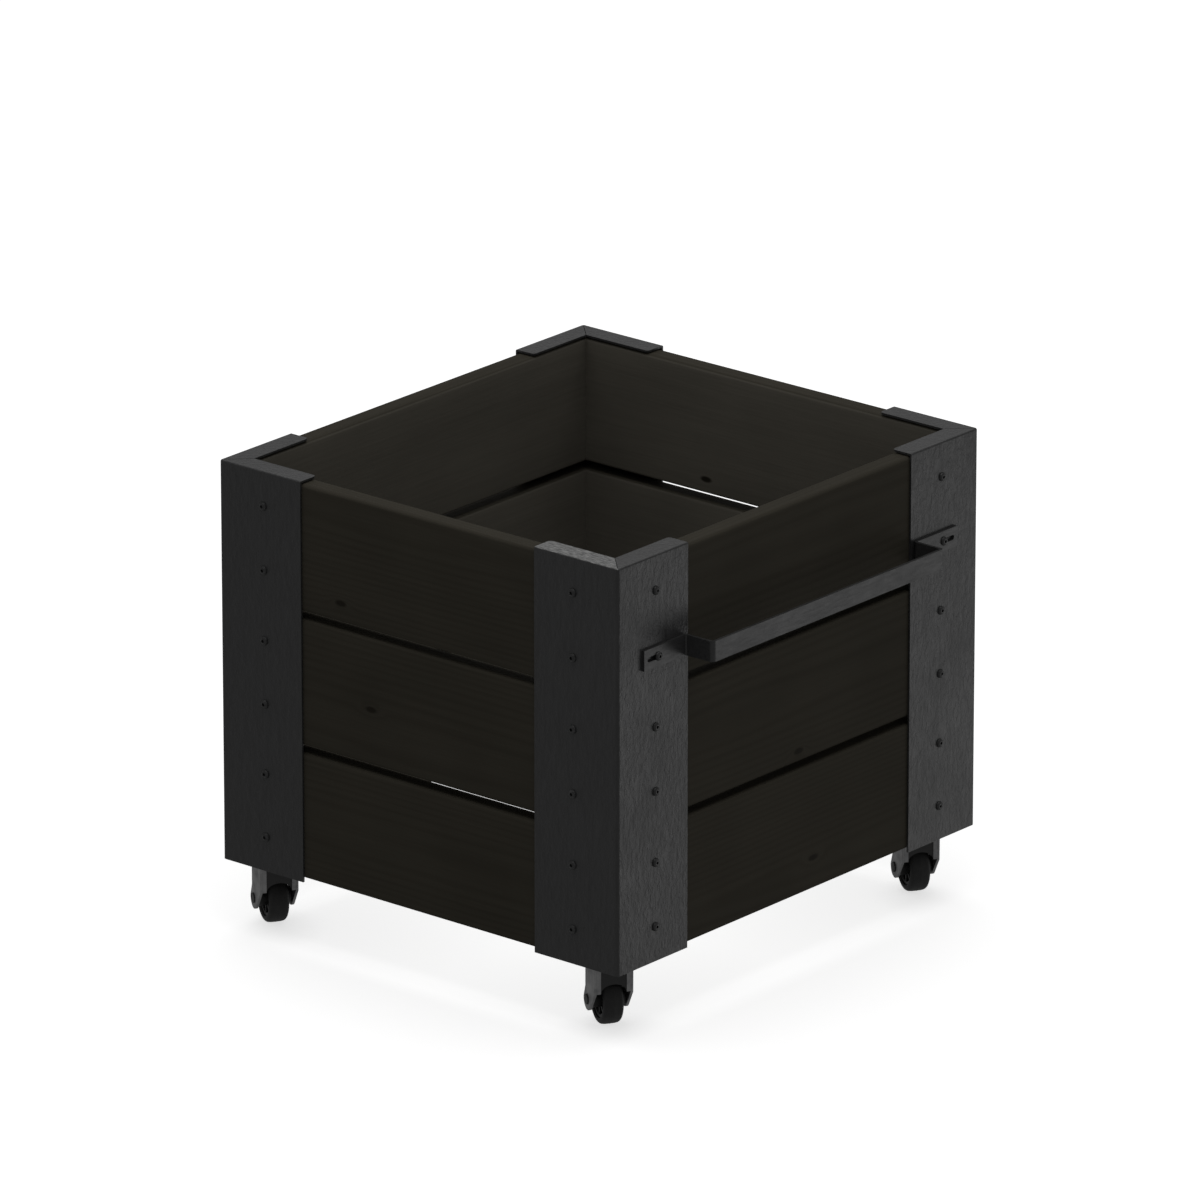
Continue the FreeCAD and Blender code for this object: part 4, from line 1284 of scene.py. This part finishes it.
@dataclass
class PressedForks:
    """The four forks with their pressed edges rounded, and in each a black web over the wheel, painted shade under
    the crown.
    """

    sheet: float = 0.0025
    lead: float = 0.0035
    half_width: float = 0.019
    leg_corner: float = 0.037
    arch_top: float = 0.0452
    arch_foot: float = 0.0365
    arch_half: float = 0.0125
    shade_sheet_inset: float = 0.0006
    pin_clearance: float = 0.0006
    edge: float = 0.00035
    crease: float = 0.0010
    flange_root: float = 0.3
    inner_skin: float = 0.9
    steps: int = 28
    fork_crease: float = 40.0
    merge: float = 1e-6
    flat_within: float = 0.5
    sharp_past: float = 50.0
    upright_within: float = 1e-5
    edge_within: float = 2e-4

    def build(self) -> None:
        """Build each corner's fork on its swivel."""
        rolls = castor_joints("castor_roll_")
        for corner, swivel in sorted(castor_joints("castor_swivel_").items()):
            node = "castor_fork_" + corner
            across, back, _ = swivel["pos_m"]
            place = Matrix.Translation((across, back, 0.0)) @ turn_to_axle(rolls[corner])
            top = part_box(node)[1].z - self.sheet
            made = self._pressing(node, place.inverted())
            self._flanges(made, top)
            mesh = to_mesh("fork", made, ZINC, place, self.fork_crease)
            finish_piece(mesh, "pressed_fork_" + corner, swivel["child"], Slot.ZINC, [node])
            # A web between the flanges, black as painted shade under the fork's crown.
            below_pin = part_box("castor_kingpin_" + corner)[0].z - self.pin_clearance
            shade_sheet = to_mesh("shade_sheet", self._shade_sheet(below_pin), NYLON, place, self.fork_crease)
            finish_piece(shade_sheet, "fork_shade_sheet_" + corner, swivel["child"], Slot.CORE)

    def _pressing(self, node: str, to_castor: Matrix) -> bmesh.types.BMesh:
        """Copy a CAD fork and round its edges.

        Args:
            node: The CAD fork.
            to_castor: The matrix that takes it to the castor's own axes.

        Returns:
            The rounded fork, in the castor's own axes.
        """
        made = bmesh.new()
        made.from_mesh(frame["nodes"][node].data)
        made.transform(to_castor)
        bmesh.ops.remove_doubles(made, verts=made.verts, dist=self.merge)
        flat = math.radians(self.flat_within)
        bmesh.ops.dissolve_limit(made, angle_limit=flat, verts=made.verts, edges=made.edges)
        creases = [edge for edge in made.edges if self._is_crease(edge)]
        bmesh.ops.bevel(made, geom=creases, offset=self.crease, segments=4, profile=0.5, affect="EDGES")
        sharp = [edge for edge in made.edges if is_sharp(edge, self.sharp_past)]
        bmesh.ops.bevel(
            made, geom=sharp, offset=self.edge, segments=2, profile=0.5, affect="EDGES", clamp_overlap=True
        )
        return made

    def _is_crease(self, edge: bmesh.types.BMEdge) -> bool:
        """Tell a leg's upright outer edge in front.

        Args:
            edge: An edge, in the castor's own axes.

        Returns:
            Whether it is such an edge.
        """
        one, two = (vert.co for vert in edge.verts)
        upright = max(abs(one.x - two.x), abs(one.y - two.y)) < self.upright_within
        in_front = abs(one.x + self.lead) < self.edge_within
        return upright and in_front and abs(abs(one.y) - self.half_width) < self.edge_within

    def _flanges(self, made: bmesh.types.BMesh, top: float) -> None:
        """Add the inward flange of each leg's front edge.

        Args:
            made: The fork, in the castor's own axes.
            top: The height of the underside of the fork's crown.
        """
        outer = self.half_width - self.inner_skin * self.sheet
        root = top + self.flange_root * self.sheet
        for side in (-1.0, 1.0):
            near, far = sorted((side * outer, side * self.arch_half))
            outline = [(near, root), (near, self.leg_corner), (far, self.leg_corner), (far, root)]
            self._plate(made, outline, -self.lead, -self.lead + self.sheet)

    def _shade_sheet(self, top: float) -> bmesh.types.BMesh:
        """Build the black web between the flanges, its foot an arch over the wheel; its black is painted shade
        under the crown.

        Args:
            top: The height of its top edge.

        Returns:
            The guard, in the castor's own axes.
        """
        made = bmesh.new()
        outline = [(-self.arch_half, top)]
        for step in range(self.steps + 1):
            angle = math.pi * (1.0 - step / self.steps)
            rise = (self.arch_top - self.arch_foot) * math.sin(angle)
            outline.append((self.arch_half * math.cos(angle), self.arch_foot + rise))
        outline.append((self.arch_half, top))
        front, back = self.shade_sheet_inset - self.lead, self.inner_skin * self.sheet - self.lead
        self._plate(made, outline, front, back)
        return made

    def _plate(
        self, made: bmesh.types.BMesh, outline: Sequence[tuple[float, float]], front: float, back: float
    ) -> None:
        """Add an upright plate across the castor.

        Args:
            made: What it is added to.
            outline: Its outline's points, each across the castor and up.
            front: Where its front lies along the castor.
            back: Where its back lies.
        """
        near = [made.verts.new((front, y, z)) for y, z in outline]
        far = [made.verts.new((back, y, z)) for y, z in outline]
        faces = [made.faces.new(near), made.faces.new(list(reversed(far)))]
        for i in range(len(outline)):
            j = (i + 1) % len(outline)
            faces.append(made.faces.new((near[j], near[i], far[i], far[j])))
        bmesh.ops.recalc_face_normals(made, faces=faces)


class CastorMetal:
    """The castors' plates, pins, balls and screws, kept as the CAD model has them."""

    FINISHES: dict[str, Finish] = {
        "castor_plate_": ZINC,
        "castor_kingpin_": BRIGHT_PIN,
        "castor_balls_": BRIGHT_PIN,
        "castor_axle_bolt_": DARK_PIN,
        "castor_axle_nut_": DARK_PIN,
        "castor_plate_screws_": BRIGHT_PIN,
    }

    def build(self) -> None:
        """Give each kept castor node its finish."""
        for node in sorted(frame["nodes"]):
            for start in sorted(self.FINISHES, key=len, reverse=True):
                if node.startswith(start):
                    dress_node(node, self.FINISHES[start], Slot.ZINC)
                    break


@dataclass
class Steelwork:
    """The posts and the strap handle, kept as the CAD model has them."""

    # The post whose front top flange gets a painted highlight.
    highlit_post: str = "corner_post_front_right"
    top_flange: float = 0.0235
    skin: float = 0.0004

    def build(self) -> None:
        """Give the posts and the handle their powder coats."""
        for node in sorted(frame["nodes"]):
            if node.startswith("corner_post_"):
                coat = self._highlit_coat() if node == self.highlit_post else POST_COAT
                dress_node(node, coat, Slot.POST)
        dress_node("handle_strap", HANDLE_COAT, Slot.HANDLE)

    def _highlit_coat(self) -> PowderCoat:
        """Make the coat of the post whose front top flange has a painted highlight along its brushed streaks.

        Returns:
            The coat.
        """
        low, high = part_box(self.highlit_post)
        return replace(
            POST_COAT,
            name="highlit_powder_coat",
            highlight_low=(low.x - self.skin, low.y, high.z - self.skin),
            highlight_high=(high.x, low.y + self.top_flange, high.z + self.skin),
        )


# ---------------------------------------------------------------------------------- studio


WHITE = (1.0, 1.0, 1.0, 1.0)


@dataclass(frozen=True)
class Softbox:
    """One soft light: where it stands, what it faces, its size and its power."""

    name: str
    place: tuple[float, float, float]
    target: tuple[float, float, float]
    size: tuple[float, float]
    power: float

    def build(self) -> None:
        """Add the light."""
        data = bpy.data.lights.new(self.name, "AREA")
        data.shape = "RECTANGLE"
        data.size, data.size_y = self.size
        data.energy = self.power
        lamp = bpy.data.objects.new(self.name, data)
        lamp.location = self.place
        away = Vector(self.place) - Vector(self.target)
        lamp.rotation_euler = away.to_track_quat("Z", "Y").to_euler()
        lamp.visible_camera = False
        bpy.context.scene.collection.objects.link(lamp)


@dataclass(frozen=True)
class Studio:
    """The floor, the lights and the camera."""

    azimuth: float = 40.015
    elevation: float = 19.425
    camera_place: tuple[float, float, float] = (7.3257, -8.7259, 4.3303)
    lens: float = 386.4
    sensor: float = 36.0
    clip_end: float = 200.0
    floor_half: float = 30.0
    floor_colour: Colour = (0.70, 0.70, 0.70)
    floor_glow: float = 0.68
    world_light: float = 0.255
    softboxes: tuple[Softbox, ...] = (
        Softbox("right_back_low", (2.6, 3.1, -1.2), (0.2, 0.0, 0.25), (2.2, 1.6), 10.5),
        Softbox("back_left_high", (-3.4, 4.0, 2.4), (0.0, 0.0, 0.3), (3.2, 1.8), 4.0),
        Softbox("overhead", (0.0, 0.0, 5.0), (0.0, 0.0, 0.0), (5.0, 5.0), 125.0),
    )

    def build(self) -> None:
        """Set the stage."""
        self._floor()
        self._world()
        for box in self.softboxes:
            box.build()
        self._camera()
        bpy.context.scene.view_settings.view_transform = "Standard"

    def _floor(self) -> None:
        """A wide pale floor, which takes the object's shadows but sends no light back up."""
        reach = self.floor_half
        mesh = bpy.data.meshes.new("floor")
        corners = [(-reach, -reach, 0.0), (reach, -reach, 0.0), (reach, reach, 0.0), (-reach, reach, 0.0)]
        mesh.from_pydata(corners, [], [(0, 1, 2, 3)])
        floor = bpy.data.objects.new("floor", mesh)
        bpy.context.scene.collection.objects.link(floor)
        made = bpy.data.materials.new("studio_floor")
        made.use_nodes = True
        shader = made.node_tree.nodes["Principled BSDF"]
        shader.inputs["Base Color"].default_value = _rgba(self.floor_colour)
        shader.inputs["Roughness"].default_value = 1.0
        shader.inputs["Specular IOR Level"].default_value = 0.0
        shader.inputs["Emission Color"].default_value = WHITE
        shader.inputs["Emission Strength"].default_value = self.floor_glow
        mesh.materials.append(made)
        floor.visible_diffuse = False
        floor.visible_glossy = False
        floor.visible_shadow = False

    def _world(self) -> None:
        """An even grey world."""
        world = bpy.data.worlds.new("studio")
        world.use_nodes = True
        background = world.node_tree.nodes["Background"]
        background.inputs["Color"].default_value = WHITE
        background.inputs["Strength"].default_value = self.world_light
        bpy.context.scene.world = world

    def _camera(self) -> None:
        """A long lens a little above the box, off its corner."""
        data = bpy.data.cameras.new("camera")
        data.lens = self.lens
        data.sensor_width = self.sensor
        data.clip_end = self.clip_end
        camera = bpy.data.objects.new("camera", data)
        across, up = math.radians(self.azimuth), math.radians(self.elevation)
        back = Vector((math.sin(across) * math.cos(up), -math.cos(across) * math.cos(up), math.sin(up)))
        camera.location = self.camera_place
        camera.rotation_euler = back.to_track_quat("Z", "Y").to_euler()
        bpy.context.scene.collection.objects.link(camera)
        bpy.context.scene.camera = camera


def main() -> None:
    """Build the planter box's looks and its studio."""
    Studio().build()
    Steelwork().build()
    CastorMetal().build()
    PressedForks().build()
    BoardWalls().build()
    BoardScrews().build()
    CastorWheels().build()


if __name__ == "__main__":
    main()
